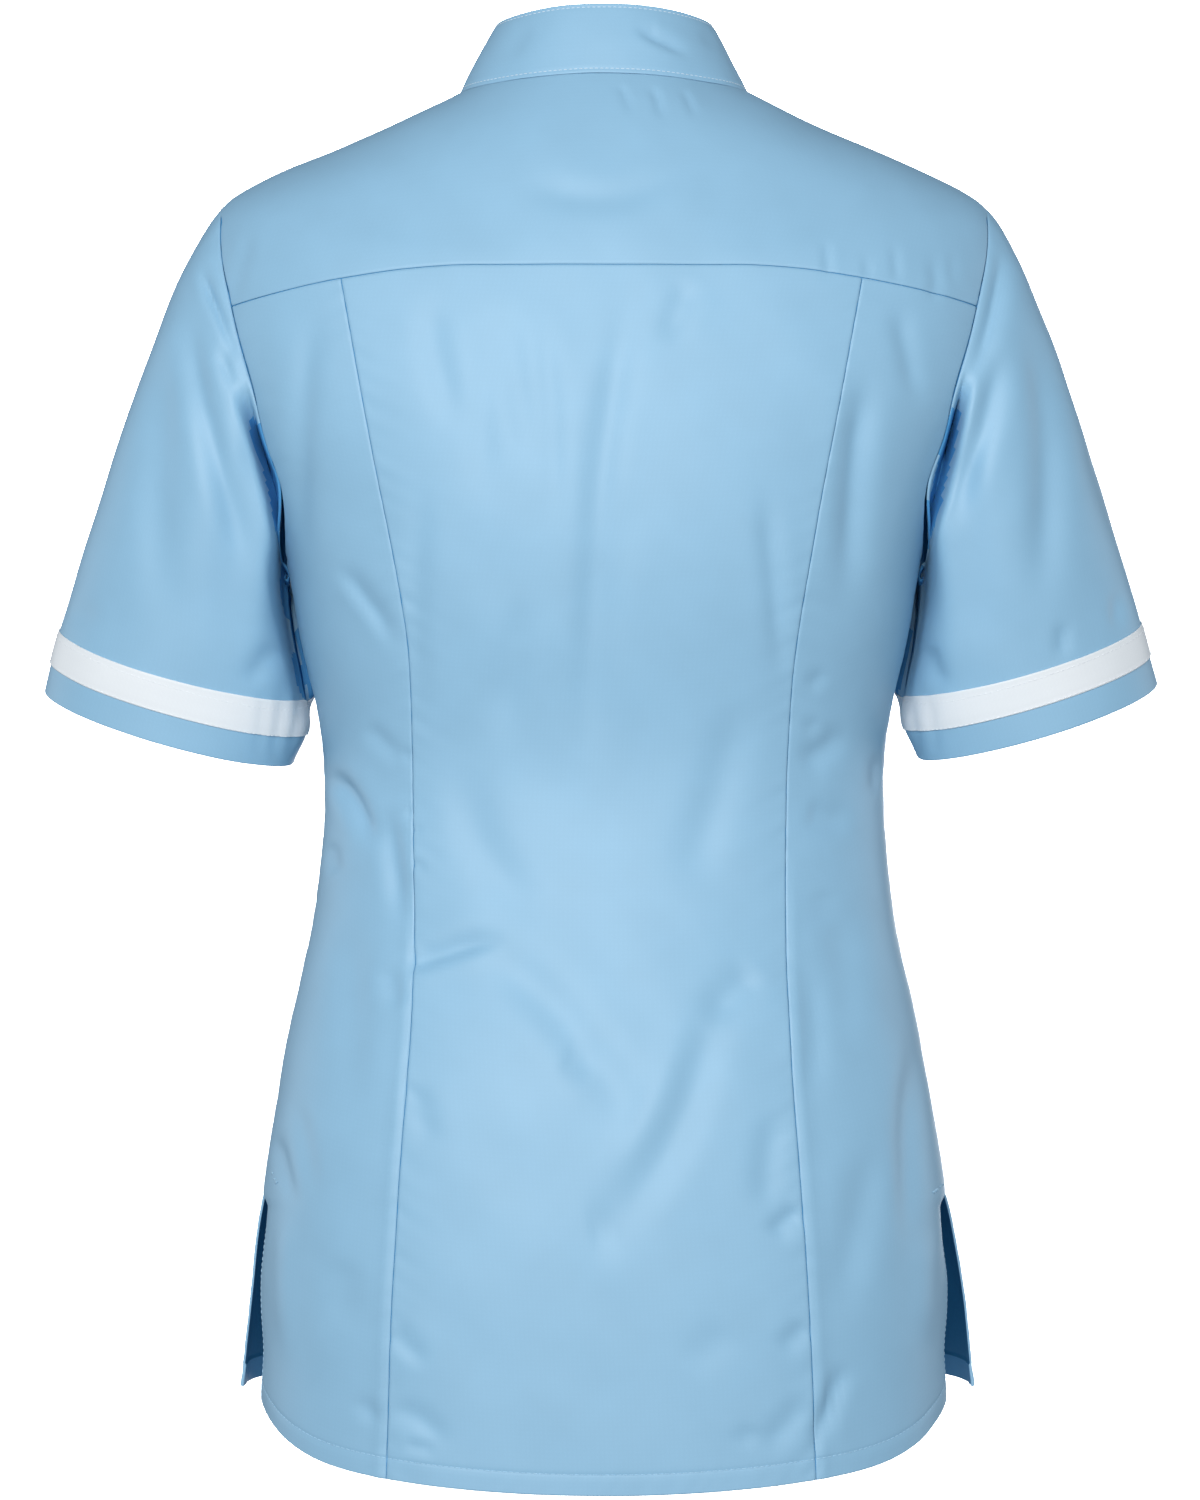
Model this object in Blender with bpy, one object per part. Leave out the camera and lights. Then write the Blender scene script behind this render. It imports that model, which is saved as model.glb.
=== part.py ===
"""A women's short-sleeved work shirt in its worn shape, hollow, built from its cut pieces.

The back faces +Y and the front -Y, +X is the wearer's left and +Z is up. The origin is between
the two neck points, where the shoulder seams meet the collar. All sizes are in metres.

The body is one smooth surface of rings that run round the wearer from the hem to the neck. An
angle says where a point is on its ring (0 centre back, a quarter turn the wearer's left side,
a half turn centre front), and a level says which ring it is on: the ring's height at the sides.
"""
import math

import bmesh
import bpy
import numpy as np
from mathutils import Matrix

# Cloth and seams
CLOTH = 0.0012
COLLAR_CLOTH = 0.0016
TAPE_CLOTH = 0.0010
SEAM_GAP = 0.0003
EDGE_INSET = 0.0002
FOLD_OVER_BELOW = 0.25

# Body: one row for each ring, from the hem up to the neck seam
RINGS = (
    # level, half_width, side_y, back_y, front_y, back_z, front_z, back_power, front_power, crest
    (-0.710, 0.1710, 0.000, 0.113, -0.131, -0.710, -0.710, 2.5, 2.5, 2.0),
    (-0.630, 0.1715, 0.000, 0.116, -0.130, -0.630, -0.630, 2.5, 2.5, 2.0),
    (-0.554, 0.1710, 0.000, 0.115, -0.128, -0.554, -0.554, 2.5, 2.5, 2.0),
    (-0.508, 0.1645, 0.000, 0.111, -0.125, -0.508, -0.508, 2.5, 2.5, 2.0),
    (-0.468, 0.1572, 0.000, 0.104, -0.122, -0.468, -0.468, 2.4, 2.5, 2.0),
    (-0.428, 0.1485, 0.000, 0.094, -0.120, -0.428, -0.428, 2.3, 2.5, 2.0),
    (-0.387, 0.1423, 0.000, 0.087, -0.122, -0.387, -0.387, 2.3, 2.5, 2.0),
    (-0.347, 0.1402, 0.000, 0.085, -0.129, -0.347, -0.347, 2.3, 2.5, 2.0),
    (-0.306, 0.1452, 0.000, 0.091, -0.140, -0.306, -0.306, 2.3, 2.5, 2.0),
    (-0.279, 0.1515, 0.000, 0.097, -0.145, -0.279, -0.279, 2.4, 2.5, 2.0),
    (-0.245, 0.1575, 0.000, 0.103, -0.146, -0.245, -0.247, 2.5, 2.5, 2.0),
    (-0.200, 0.1705, 0.000, 0.107, -0.141, -0.200, -0.214, 2.5, 2.5, 2.0),
    (-0.160, 0.1895, 0.000, 0.106, -0.133, -0.160, -0.187, 2.5, 2.4, 3.0),
    (-0.110, 0.2000, 0.000, 0.101, -0.121, -0.118, -0.158, 2.4, 2.3, 4.0),
    (-0.0690, 0.1980, 0.000, 0.095, -0.109, -0.088, -0.135, 2.2, 2.2, 5.5),
    (-0.0575, 0.1920, 0.000, 0.093, -0.106, -0.080, -0.128, 2.1, 2.1, 6.0),
    (-0.0345, 0.1490, 0.000, 0.083, -0.092, -0.050, -0.106, 2.1, 2.1, 5.0),
    (-0.0145, 0.1020, 0.000, 0.069, -0.077, -0.018, -0.082, 2.1, 2.1, 3.0),
    (0.0000, 0.0725, 0.000, 0.055, -0.063, 0.005, -0.064, 2.1, 2.1, 2.0),
)

UNDERARM = -0.245
SHOULDER_POINT = -0.0575
NECK_SEAM = 0.0
SHOULDER_SEAM_FORWARD = 0.17

# Fullness over the bust, shaped by darts: two soft rises on the front
BUST = {"x": 0.085, "z": -0.262, "rise": 0.012, "spread": 0.062, "reach": 1.6}

# Where the armhole crosses each ring, half way across the body
ARMHOLE = (
    # level, back_x, front_x
    (-0.2450, 0.1575, 0.1575),
    (-0.2300, 0.1600, 0.1592),
    (-0.2000, 0.1600, 0.1600),
    (-0.1780, 0.1675, 0.1640),
    (-0.1590, 0.1720, 0.1685),
    (-0.1260, 0.1810, 0.1775),
    (-0.1050, 0.1860, 0.1835),
    (-0.0800, 0.1910, 0.1895),
    (-0.0575, 0.1920, 0.1920),
)

# The two curved seams from the yoke to the hem
PANEL_SEAM = (
    # height, left_x, right_x
    (-0.700, 0.1068, 0.1040),
    (-0.627, 0.1045, 0.1011),
    (-0.575, 0.1021, 0.0981),
    (-0.530, 0.0992, 0.0948),
    (-0.468, 0.0946, 0.0907),
    (-0.412, 0.0931, 0.0892),
    (-0.342, 0.0944, 0.0902),
    (-0.286, 0.0962, 0.0937),
    (-0.233, 0.1038, 0.1018),
    (-0.198, 0.1110, 0.1080),
    (-0.151, 0.1199, 0.1171),
    (-0.090, 0.1310, 0.1285),
)

YOKE_SEAM = {"height": -0.0932, "flat_half": 0.070, "curve_half": 0.115, "drop": 0.017, "power": 1.6}
BACK_HEM = {"height": -0.6943, "half": 0.171, "bow": 0.0165, "corner": 0.019, "corner_power": 11}
VENT_TOP = -0.554
FRONT_HEM = -0.653
VENT_FLARE = 0.0145

# Button stand, right over left
STAND_HALF = 0.017
STAND_RISE = CLOTH + 2 * SEAM_GAP
RISE_ENDS = 0.0195
RISE_STARTS = 0.040

# Stand collar: its top edge is one more ring
COLLAR_TOP = (0.0345, 0.0535, -0.002, 0.0440, -0.0500, 0.0410, -0.0270, 2.3, 2.1, 2.6)
COLLAR_END_TURN = 0.016
COLLAR_LAST_STEP = 0.010
COLLAR_CORNER = 0.012
COLLAR_ROWS = 3

# Set-in sleeves: the hem rings, and how the cloth leaves an armhole
SLEEVE_HEMS = {
    # side: x, y, z, half_width, half_depth, degrees the sleeve spreads, degrees it hangs forward
    1: (0.2205, -0.016, -0.3189, 0.0657, 0.0470, 16.2, 12.0),
    -1: (0.2198, -0.016, -0.3155, 0.0637, 0.0470, 17.2, 11.5),
}
SLEEVE_LEAVES = (
    # turn (0 shoulder, 0.25 back, 0.5 underarm, 0.75 front), x, y, z, hem_pull
    (0.00, 0.080, 0.000, -0.082, 0.262),
    (0.25, 0.080, 0.010, -0.075, 0.180),
    (0.50, 0.010, 0.000, -0.085, 0.095),
    (0.75, 0.080, -0.010, -0.075, 0.180),
)
SLEEVE_ROWS = 7
SLEEVE_LENGTH_IN_TURNS = 0.5
FOLD_FADES_WITHIN = 0.083
TAPE_WIDTH = 0.016
TAPE_ABOVE_HEM = 0.015

# Largest folds: troughs along a line on the back of the body
BACK_FOLDS = (
    # from_x, from_z, to_x, to_z, depth, half_width
    (0.045, -0.200, 0.030, -0.420, 0.0020, 0.022),
    (-0.040, -0.180, -0.055, -0.400, 0.0018, 0.022),
    (0.090, -0.440, 0.068, -0.425, 0.0030, 0.014),
    (-0.088, -0.412, -0.055, -0.460, 0.0022, 0.014),
    (0.132, -0.365, 0.118, -0.380, 0.0020, 0.014),
)
SLEEVE_FOLDS = (
    # from_turn, from_part, to_turn, to_part, depth, half_width
    (0.30, 0.02, 0.27, 0.42, 0.0050, 0.040),
    (0.20, 0.10, 0.14, 0.60, 0.0030, 0.040),
    (0.70, 0.05, 0.72, 0.45, 0.0045, 0.040),
    (0.84, 0.10, 0.88, 0.55, 0.0030, 0.040),
)

BUTTON = {"radius": 0.0057, "thick": 0.0024, "bevel": 0.0006, "rim": 0.0011, "dish": 0.0006}
BUTTON_HOLE = {"radius": 0.0008, "pitch": 0.0013, "sides": 8}
BUTTON_COUNT = 6
BUTTON_TOP = -0.084
BUTTON_STEP = 0.088
BUTTON_LIFT = 0.00055
BUTTON_SIDES = 24

# Facets of each piece
VENT_ROWS = 5
SIDE_ROWS = 12
ARMHOLE_BACK_ROWS = 7
YOKE_ARMHOLE_ROWS = 3
YOKE_SHOULDER_ROWS = 5
ARMHOLE_FRONT_ROWS = 10
SIDE_BACK_COLUMNS = 6
BACK_COLUMNS = 12
FRONT_COLUMNS = 9
SHARP_ABOVE_DEGREES = 40

# How closely a level or an angle is sought
HALVINGS = 34
SEAM_PASSES = 4
GRID_PASSES = 8
JUST_BEHIND_SIDE = 0.0005
NORMAL_TURN = 0.004
NORMAL_RISE = 0.0008

# Finishes: colour, then roughness
CLOTH_BLUE = (0.33, 0.59, 0.79, 0.75)
TAPE_WHITE = (0.88, 0.90, 0.93, 0.75)
BUTTON_BLUE = (0.26, 0.50, 0.70, 0.35)

ALL_EDGES = ("first_row", "last_row", "first_column", "last_column")


def curve_columns(table, at):
    """Read every column of a table at values of its first column, along a smooth curve."""
    rows = np.array(table, dtype=float)
    keys, values = rows[:, 0], rows[:, 1:]
    count, step = len(keys), np.diff(keys)
    system, load = np.eye(count), np.zeros_like(values)
    for i in range(1, count - 1):
        system[i, i - 1:i + 2] = step[i - 1], 2 * (step[i - 1] + step[i]), step[i]
        change = (values[i + 1] - values[i]) / step[i] - (values[i] - values[i - 1]) / step[i - 1]
        load[i] = 6 * change
    bend = np.linalg.solve(system, load)
    at = np.clip(np.asarray(at, dtype=float), keys[0], keys[-1])
    low = np.clip(np.searchsorted(keys, at) - 1, 0, count - 2)
    gap = step[low][..., None]
    above = (at - keys[low])[..., None] / gap
    below = 1 - above
    bent = (below**3 - below) * bend[low] + (above**3 - above) * bend[low + 1]
    result = below * values[low] + above * values[low + 1] + bent * gap**2 / 6
    return np.moveaxis(result, -1, 0)


def unit(vectors):
    return vectors / np.maximum(np.linalg.norm(vectors, axis=-1, keepdims=True), 1e-12)


def ring_point(angle, level, columns, widen=0.0):
    """A point on a ring: a rounded outline in plan, tilted between its sides and its middle."""
    half_width, side_y, back_y, front_y, back_z, front_z, back_power, front_power, crest = columns
    at_back = np.cos(angle) >= 0
    half_width = half_width + widen
    depth = np.where(at_back, back_y - side_y, side_y - front_y)
    middle_z = np.where(at_back, back_z, front_z)
    power = np.where(at_back, back_power, front_power)
    across, along = np.abs(np.sin(angle)), np.abs(np.cos(angle))
    radius = ((across / half_width)**power + (along / depth)**power)**(-1 / power)
    z = level + (middle_z - level) * (1 - across**crest)
    return np.stack([radius * np.sin(angle), side_y + radius * np.cos(angle), z], axis=-1)


def trough(u, v, from_u, from_v, to_u, to_v, depth, half_width):
    """Depth of a soft trough at (u, v), full along its line and fading past both ends."""
    run_u, run_v = to_u - from_u, to_v - from_v
    length = math.hypot(run_u, run_v)
    along = ((u - from_u) * run_u + (v - from_v) * run_v) / length
    off = ((u - from_u) * run_v - (v - from_v) * run_u) / length
    past = np.maximum(np.abs(along - length / 2) - length / 2, 0)
    return depth * np.exp(-(off**2 + past**2) / half_width**2)


def vent_flare(level):
    part = np.clip((VENT_TOP - level) / (VENT_TOP - FRONT_HEM), 0, 1)
    return VENT_FLARE * part * (2 - part)


def body(angle, level, flared=False):
    """Points of the body's inner face at these angles and levels; a front flares at its vent."""
    angle, level = np.broadcast_arrays(np.asarray(angle, dtype=float), np.asarray(level, dtype=float))
    points = ring_point(angle, level, curve_columns(RINGS, level), vent_flare(level) if flared else 0.0)
    x, z = points[..., 0], points[..., 2]
    at_back = np.cos(angle) > 0
    at_front = np.clip(-BUST["reach"] * np.cos(angle), 0, 1)**2
    for side in (1, -1):
        away = (x - side * BUST["x"])**2 + (z - BUST["z"])**2
        points[..., 1] -= BUST["rise"] * at_front * np.exp(-away / BUST["spread"]**2)
    for fold in BACK_FOLDS:
        points[..., 1] -= np.where(at_back, trough(x, z, *fold), 0)
    return points


def body_normal(angle, level, flared=False):
    """Outward normals of the body."""
    low = np.minimum(level, NECK_SEAM - NORMAL_RISE)
    round_it = body(angle + NORMAL_TURN, low, flared) - body(angle - NORMAL_TURN, low, flared)
    up_it = body(angle, low + NORMAL_RISE, flared) - body(angle, low - NORMAL_RISE, flared)
    return unit(np.cross(up_it, round_it))


def angle_at(level, half_breadth, at_back):
    """The angle at which a ring reaches this distance from the centre line."""
    columns = curve_columns(RINGS, level)
    half_width, side_y, back_y, front_y, _, _, back_power, front_power, _ = columns
    depth = back_y - side_y if at_back else side_y - front_y
    power = back_power if at_back else front_power
    width = half_width if at_back else half_width + vent_flare(level)
    share = np.clip(half_breadth / width, 0, 1)
    from_middle = np.arctan2(half_breadth, depth * (1 - share**power)**(1 / power))
    return from_middle if at_back else math.pi - from_middle


def yoke_seam_height(x):
    part = np.maximum(np.abs(x) - YOKE_SEAM["flat_half"], 0) / YOKE_SEAM["curve_half"]
    return YOKE_SEAM["height"] - YOKE_SEAM["drop"] * part**YOKE_SEAM["power"]


def back_hem_height(x):
    part = np.abs(x) / BACK_HEM["half"]
    corner = BACK_HEM["corner"] * part**BACK_HEM["corner_power"]
    return BACK_HEM["height"] + BACK_HEM["bow"] * part**2 + corner


def level_on(angle, height_rule):
    """The level at which the body, at this angle, reaches a height that depends on x."""
    low = np.full(np.shape(angle), RINGS[0][0])
    high = np.full(np.shape(angle), NECK_SEAM)
    for _ in range(HALVINGS):
        middle = (low + high) / 2
        point = body(angle, middle)
        below = point[..., 2] < height_rule(point[..., 0])
        low, high = np.where(below, middle, low), np.where(below, high, middle)
    return (low + high) / 2


def outer_angle(level, at_back):
    """The angle of a panel's outer edge: side seam, then armhole, then shoulder seam."""
    level = np.asarray(level, dtype=float)
    back_x, front_x = curve_columns(ARMHOLE, level)
    armhole = angle_at(level, back_x if at_back else front_x, at_back)
    climb = np.clip((level - SHOULDER_POINT) / (NECK_SEAM - SHOULDER_POINT), 0, 1)
    seam = math.pi / 2 + SHOULDER_SEAM_FORWARD * climb
    in_armhole = (level > UNDERARM) & (level < SHOULDER_POINT)
    return np.where(in_armhole, armhole, seam)


def panel_seam_angle(level, side):
    """The angle of a panel seam on the rings at these levels."""
    height = level
    for _ in range(SEAM_PASSES):
        left_x, right_x = curve_columns(PANEL_SEAM, height)
        angle = side * angle_at(level, left_x if side > 0 else right_x, True)
        height = body(angle, level)[..., 2]
    return angle


def spread_rows(*stretches):
    """Row positions through several stretches, each (start, end, count)."""
    rows = [stretches[0][0]]
    for start, end, count in stretches:
        rows.extend(start + (end - start) * (i + 1) / count for i in range(count))
    return np.array(rows)


def yoke_corner_level():
    """The level where the yoke seam meets the armhole."""
    low, high = UNDERARM, SHOULDER_POINT
    for _ in range(HALVINGS):
        middle = (low + high) / 2
        point = body(outer_angle(middle, True), middle)
        if point[2] < yoke_seam_height(point[0]):
            low = middle
        else:
            high = middle
    return (low + high) / 2


def back_outer_levels():
    """Levels of the back panels' rows at their outer edges, from the hem to the yoke seam."""
    hem = float(level_on(math.pi / 2 - JUST_BEHIND_SIDE, back_hem_height))
    return spread_rows((hem, VENT_TOP, VENT_ROWS), (VENT_TOP, UNDERARM, SIDE_ROWS),
                       (UNDERARM, yoke_corner_level(), ARMHOLE_BACK_ROWS))


def back_edge(edge, outer, level):
    """Angles along one edge of a back panel: its outer edge, or the seam to its neighbour."""
    kind, side = edge
    if kind == "outer":
        return side * outer_angle(outer, True)
    return panel_seam_angle(level, side)


def back_grid(first, last, columns):
    """Angles and levels of a back panel between two edges."""
    outer = back_outer_levels()[:, None]
    rows = (outer - outer[0]) / (outer[-1] - outer[0])
    share = np.linspace(0, 1, columns + 1)[None, :]
    level = np.repeat(outer, columns + 1, axis=1)
    for _ in range(GRID_PASSES):
        start = back_edge(first, outer, level[:, :1])
        end = back_edge(last, outer, level[:, -1:])
        angle = start + (end - start) * share
        hem = level_on(angle, back_hem_height)
        yoke = level_on(angle, yoke_seam_height)
        level = hem + (yoke - hem) * rows
    return angle, level


def yoke_grid(foot_angles, corner):
    """Angles and levels of the yoke, above the back panels' top row, up to the neck seam."""
    tip = (SHOULDER_POINT - corner) / (NECK_SEAM - corner)
    rows = spread_rows((0, tip, YOKE_ARMHOLE_ROWS), (tip, 1, YOKE_SHOULDER_ROWS))
    share = foot_angles / outer_angle(corner, True)
    edge_level = corner + (NECK_SEAM - corner) * rows
    edge = outer_angle(edge_level, True)
    foot = level_on(foot_angles, yoke_seam_height)
    angle = edge[:, None] * share[None, :]
    level = foot[None, :] + (NECK_SEAM - foot[None, :]) * rows[:, None]
    return angle, level


def front_levels(side_levels):
    """Ring levels of the fronts' rows; between vent and underarm they match the back's."""
    hem_rows = VENT_ROWS - 1
    below = [FRONT_HEM + (VENT_TOP - FRONT_HEM) * i / hem_rows for i in range(hem_rows)]
    above = spread_rows((UNDERARM, SHOULDER_POINT, ARMHOLE_FRONT_ROWS),
                        (SHOULDER_POINT, NECK_SEAM, YOKE_SHOULDER_ROWS))[1:]
    return np.concatenate([below, side_levels, above])


def front_grid(levels, side):
    """Angles and levels of a front, and how far each point is raised to lap over the other."""
    stops = (RISE_STARTS, STAND_HALF if side > 0 else RISE_ENDS, 0, -STAND_HALF)
    outer = outer_angle(levels, False)
    ends = []
    for x in stops:
        near = angle_at(levels, abs(x), False)
        ends.append(near if x >= 0 else 2 * math.pi - near)
    share = np.linspace(0, 1, FRONT_COLUMNS + 1)[None, :]
    wide = outer[:, None] + (ends[0] - outer)[:, None] * share
    angle = np.concatenate([wide] + [end[:, None] for end in ends[1:]], axis=1)
    raised = np.zeros(angle.shape[1])
    if side < 0:
        raised[-3:] = STAND_RISE
        angle, raised = -angle[:, ::-1], raised[::-1]
    level = np.repeat(levels[:, None], angle.shape[1], axis=1)
    return angle, level, raised


def inset(points, sides):
    """Draw chosen edges of a grid in along its own surface, for the gap at a seam."""
    result = points.copy()
    for side in sides:
        edge, inner = {"first_row": (np.s_[0], np.s_[1]), "last_row": (np.s_[-1], np.s_[-2]),
                       "first_column": (np.s_[:, 0], np.s_[:, 1]),
                       "last_column": (np.s_[:, -1], np.s_[:, -2])}[side]
        result[edge] = result[edge] + unit(points[inner] - points[edge]) * EDGE_INSET
    return result


def make_object(name, mesh, finish):
    mesh.name = name
    thing = bpy.data.objects.new(name, mesh)
    bpy.context.collection.objects.link(thing)
    material = bpy.data.materials.new(name)
    material.use_nodes = True
    shader = material.node_tree.nodes["Principled BSDF"]
    shader.inputs["Base Color"].default_value = (*finish[:3], 1)
    shader.inputs["Roughness"].default_value = finish[3]
    shader.inputs["Metallic"].default_value = 0
    mesh.materials.append(material)
    return thing


def wall(name, inner, outer, finish, closed_round=False):
    """A cloth wall between two grids of points, rows up and columns round the wearer."""
    rows, columns = inner.shape[:2]
    mesh = bmesh.new()
    inside = [[mesh.verts.new(point) for point in row] for row in inner]
    outside = [[mesh.verts.new(point) for point in row] for row in outer]

    def patch(a, b, c, d):
        mesh.faces.new((a, b, c))
        mesh.faces.new((a, c, d))

    steps = columns if closed_round else columns - 1
    for i in range(rows - 1):
        for j in range(steps):
            k = (j + 1) % columns
            patch(outside[i][j], outside[i][k], outside[i + 1][k], outside[i + 1][j])
            patch(inside[i][j], inside[i + 1][j], inside[i + 1][k], inside[i][k])
    for j in range(steps):
        k = (j + 1) % columns
        patch(inside[0][j], inside[0][k], outside[0][k], outside[0][j])
        patch(outside[-1][j], outside[-1][k], inside[-1][k], inside[-1][j])
    if not closed_round:
        for i in range(rows - 1):
            patch(outside[i][0], outside[i + 1][0], inside[i + 1][0], inside[i][0])
            patch(inside[i][-1], inside[i + 1][-1], outside[i + 1][-1], outside[i][-1])
    if mesh.calc_volume(signed=True) < 0:
        bmesh.ops.reverse_faces(mesh, faces=mesh.faces)
    data = bpy.data.meshes.new(name)
    mesh.to_mesh(data)
    mesh.free()
    data.shade_smooth()
    data.set_sharp_from_angle(angle=math.radians(SHARP_ABOVE_DEGREES))
    make_object(name, data, finish)


def body_wall(name, angle, level, raised=0.0, flared=False):
    """A body panel: a wall of one cloth, its inner face on the body surface."""
    normals = body_normal(angle, level, flared)
    inner = body(angle, level, flared) + normals * np.broadcast_to(raised, angle.shape)[..., None]
    inner = inset(inner, ALL_EDGES)
    wall(name, inner, inner + normals * CLOTH, CLOTH_BLUE)


def join_start(edge, normal, away, leave, thickness):
    """Where a piece starts beside a wall's edge so that the two walls stay a seam gap apart."""
    lean = np.sum(leave * normal, axis=-1, keepdims=True)
    onward = np.sum(leave * away, axis=-1, keepdims=True)
    beside = away * (SEAM_GAP + thickness * np.maximum(lean, 0))
    over = normal * (CLOTH + thickness + 2 * SEAM_GAP) * np.maximum(FOLD_OVER_BELOW - onward, 0)
    return edge + beside + over


def armhole_ring(back_levels, yoke_levels, levels_front, side):
    """Angles and levels round an armhole: shoulder point, down the back, underarm, up the front."""
    back = np.concatenate([yoke_levels[::-1], back_levels[::-1][1:]])
    front = levels_front[1:-1]
    level = np.concatenate([back, front])
    angle = np.concatenate([outer_angle(back, True), outer_angle(front, False)])
    return angle * side, level, len(back)


def grid_normals(points):
    """Outward normals of a sleeve grid whose columns run round and whose rows run down."""
    round_it = np.roll(points, -1, axis=1) - np.roll(points, 1, axis=1)
    down_it = np.gradient(points, axis=0)
    return unit(np.cross(down_it, round_it))


def sleeve_frame(spread, forward):
    """The sleeve hem's outward and backward directions, and the way the sleeve points."""
    spread, forward = math.radians(spread), math.radians(forward)
    outward = np.array([math.cos(spread), 0, math.sin(spread)])
    backward = np.array([0, math.cos(forward), -math.sin(forward)])
    backward = unit(backward - outward * (backward @ outward))
    return outward, backward, np.cross(backward, outward)


def sleeve_surface(side, ring, hem_distances):
    """Inner points of a sleeve: rows from the armhole to the hem, the last ones at set distances."""
    angle, level, back_count = ring
    edge = body(angle, level)
    normal = body_normal(angle, level)
    loop = np.roll(edge, -1, axis=0) - np.roll(edge, 1, axis=0)
    away = unit(np.cross(loop, normal)) * side
    length = np.linalg.norm(np.diff(np.vstack([edge, edge[:1]]), axis=0), axis=1)
    walked = np.concatenate([[0], np.cumsum(length)])
    under = walked[back_count - 1]
    turn = np.where(walked[:-1] <= under, 0.5 * walked[:-1] / under,
                    0.5 + 0.5 * (walked[:-1] - under) / (walked[-1] - under))
    wrapped = [(row[0] + lap, *row[1:]) for lap in (-1, 0, 1) for row in SLEEVE_LEAVES]
    leave_x, leave_y, leave_z, pull = curve_columns(wrapped, turn)
    mirror = np.array([side, 1, 1])
    leave = np.stack([leave_x, leave_y, leave_z], axis=-1) * mirror
    start = join_start(edge, normal, away, unit(leave), CLOTH)

    *centre, half_width, half_depth, spread, forward = SLEEVE_HEMS[side]
    outward, backward, downward = sleeve_frame(spread, forward)
    swing = 2 * math.pi * turn[:, None]
    hem = np.array(centre) + outward * half_width * np.cos(swing)
    hem = (hem + backward * half_depth * np.sin(swing)) * mirror
    arrive = downward * pull[:, None] * mirror

    first_row = 1 - max(hem_distances) / pull
    part = [first_row * i / SLEEVE_ROWS for i in range(SLEEVE_ROWS)]
    part += [1 - distance / pull for distance in sorted(hem_distances, reverse=True)]
    v = np.array(part)[..., None]
    points = ((2 * v**3 - 3 * v**2 + 1) * start + (v**3 - 2 * v**2 + v) * leave
              + (3 * v**2 - 2 * v**3) * hem + (v**3 - v**2) * arrive)
    normals = grid_normals(points) * side
    for fold in SLEEVE_FOLDS:
        from_turn, from_part, to_turn, to_part, depth, half_width = fold
        dent = trough(np.broadcast_to(turn, v.shape[:2]), v[..., 0] * SLEEVE_LENGTH_IN_TURNS,
                      from_turn, from_part * SLEEVE_LENGTH_IN_TURNS,
                      to_turn, to_part * SLEEVE_LENGTH_IN_TURNS, depth, half_width)
        fade = np.clip(v * (1 - v) / FOLD_FADES_WITHIN, 0, 1)
        points = points - normals * dent[..., None] * fade
    return points, grid_normals(points) * side


def build_sleeve(side, word, ring):
    tape_top, tape_foot = TAPE_ABOVE_HEM + TAPE_WIDTH, TAPE_ABOVE_HEM
    points, normals = sleeve_surface(side, ring, (tape_top, tape_foot, 0.0))
    wall(f"sleeve_{word}", points, points + normals * CLOTH, CLOTH_BLUE, closed_round=True)
    lift = normals[-3:-1] * (CLOTH + SEAM_GAP)
    band = points[-3:-1] + lift
    wall(f"sleeve_tape_{word}", band, band + normals[-3:-1] * TAPE_CLOTH, TAPE_WHITE, closed_round=True)


def build_collar(angles):
    """The stand collar, from the neck seam up to its top ring, its ends rounded."""
    level = np.full(angles.shape, NECK_SEAM)
    edge, normal = body(angles, level), body_normal(angles, level)
    up = unit(edge - body(angles, level - NORMAL_RISE))
    top_level = np.full(angles.shape, COLLAR_TOP[0])
    top = ring_point(angles, top_level, np.array(COLLAR_TOP[1:])[:, None])
    start = join_start(edge, normal, up, unit(top - edge), COLLAR_CLOTH)
    walked = np.concatenate([[0], np.cumsum(np.linalg.norm(np.diff(start, axis=0), axis=1))])
    to_end = np.minimum(walked, walked[-1] - walked)
    inside = np.clip(COLLAR_CORNER - to_end, 0, COLLAR_CORNER)
    cut = COLLAR_CORNER - np.sqrt(COLLAR_CORNER**2 - inside**2)
    height = np.linalg.norm(top - start, axis=1)
    share = (1 - cut / height)[None, :, None] * np.linspace(0, 1, COLLAR_ROWS + 1)[:, None, None]
    inner = start + (top - start) * share
    round_it = np.gradient(inner, axis=1)
    upward = np.gradient(inner, axis=0)
    normals = unit(np.cross(upward, round_it))
    wall("collar", inner, inner + normals * COLLAR_CLOTH, CLOTH_BLUE)


def button_mesh(name):
    """A round button with a raised rim, a dished middle and four thread holes."""
    radius, thick, bevel = BUTTON["radius"], BUTTON["thick"], BUTTON["bevel"]
    rim = radius - BUTTON["rim"]
    dish = thick - BUTTON["dish"]
    profile = ((0, 0), (radius - bevel, 0), (radius, bevel), (radius, thick - bevel),
               (radius - bevel, thick), (rim, thick), (rim - bevel, dish), (0, dish))
    mesh = bmesh.new()
    rings = []
    for r, z in profile:
        if r == 0:
            rings.append([mesh.verts.new((0, 0, z))])
            continue
        turns = (2 * math.pi * i / BUTTON_SIDES for i in range(BUTTON_SIDES))
        rings.append([mesh.verts.new((r * math.cos(turn), r * math.sin(turn), z)) for turn in turns])
    for low, high in zip(rings, rings[1:]):
        for i in range(BUTTON_SIDES):
            k = (i + 1) % BUTTON_SIDES
            if len(low) == 1:
                mesh.faces.new((low[0], high[k], high[i]))
            elif len(high) == 1:
                mesh.faces.new((low[i], low[k], high[0]))
            else:
                mesh.faces.new((low[i], low[k], high[k], high[i]))
    bmesh.ops.recalc_face_normals(mesh, faces=mesh.faces)
    data = bpy.data.meshes.new(name)
    mesh.to_mesh(data)
    mesh.free()
    return data


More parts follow.
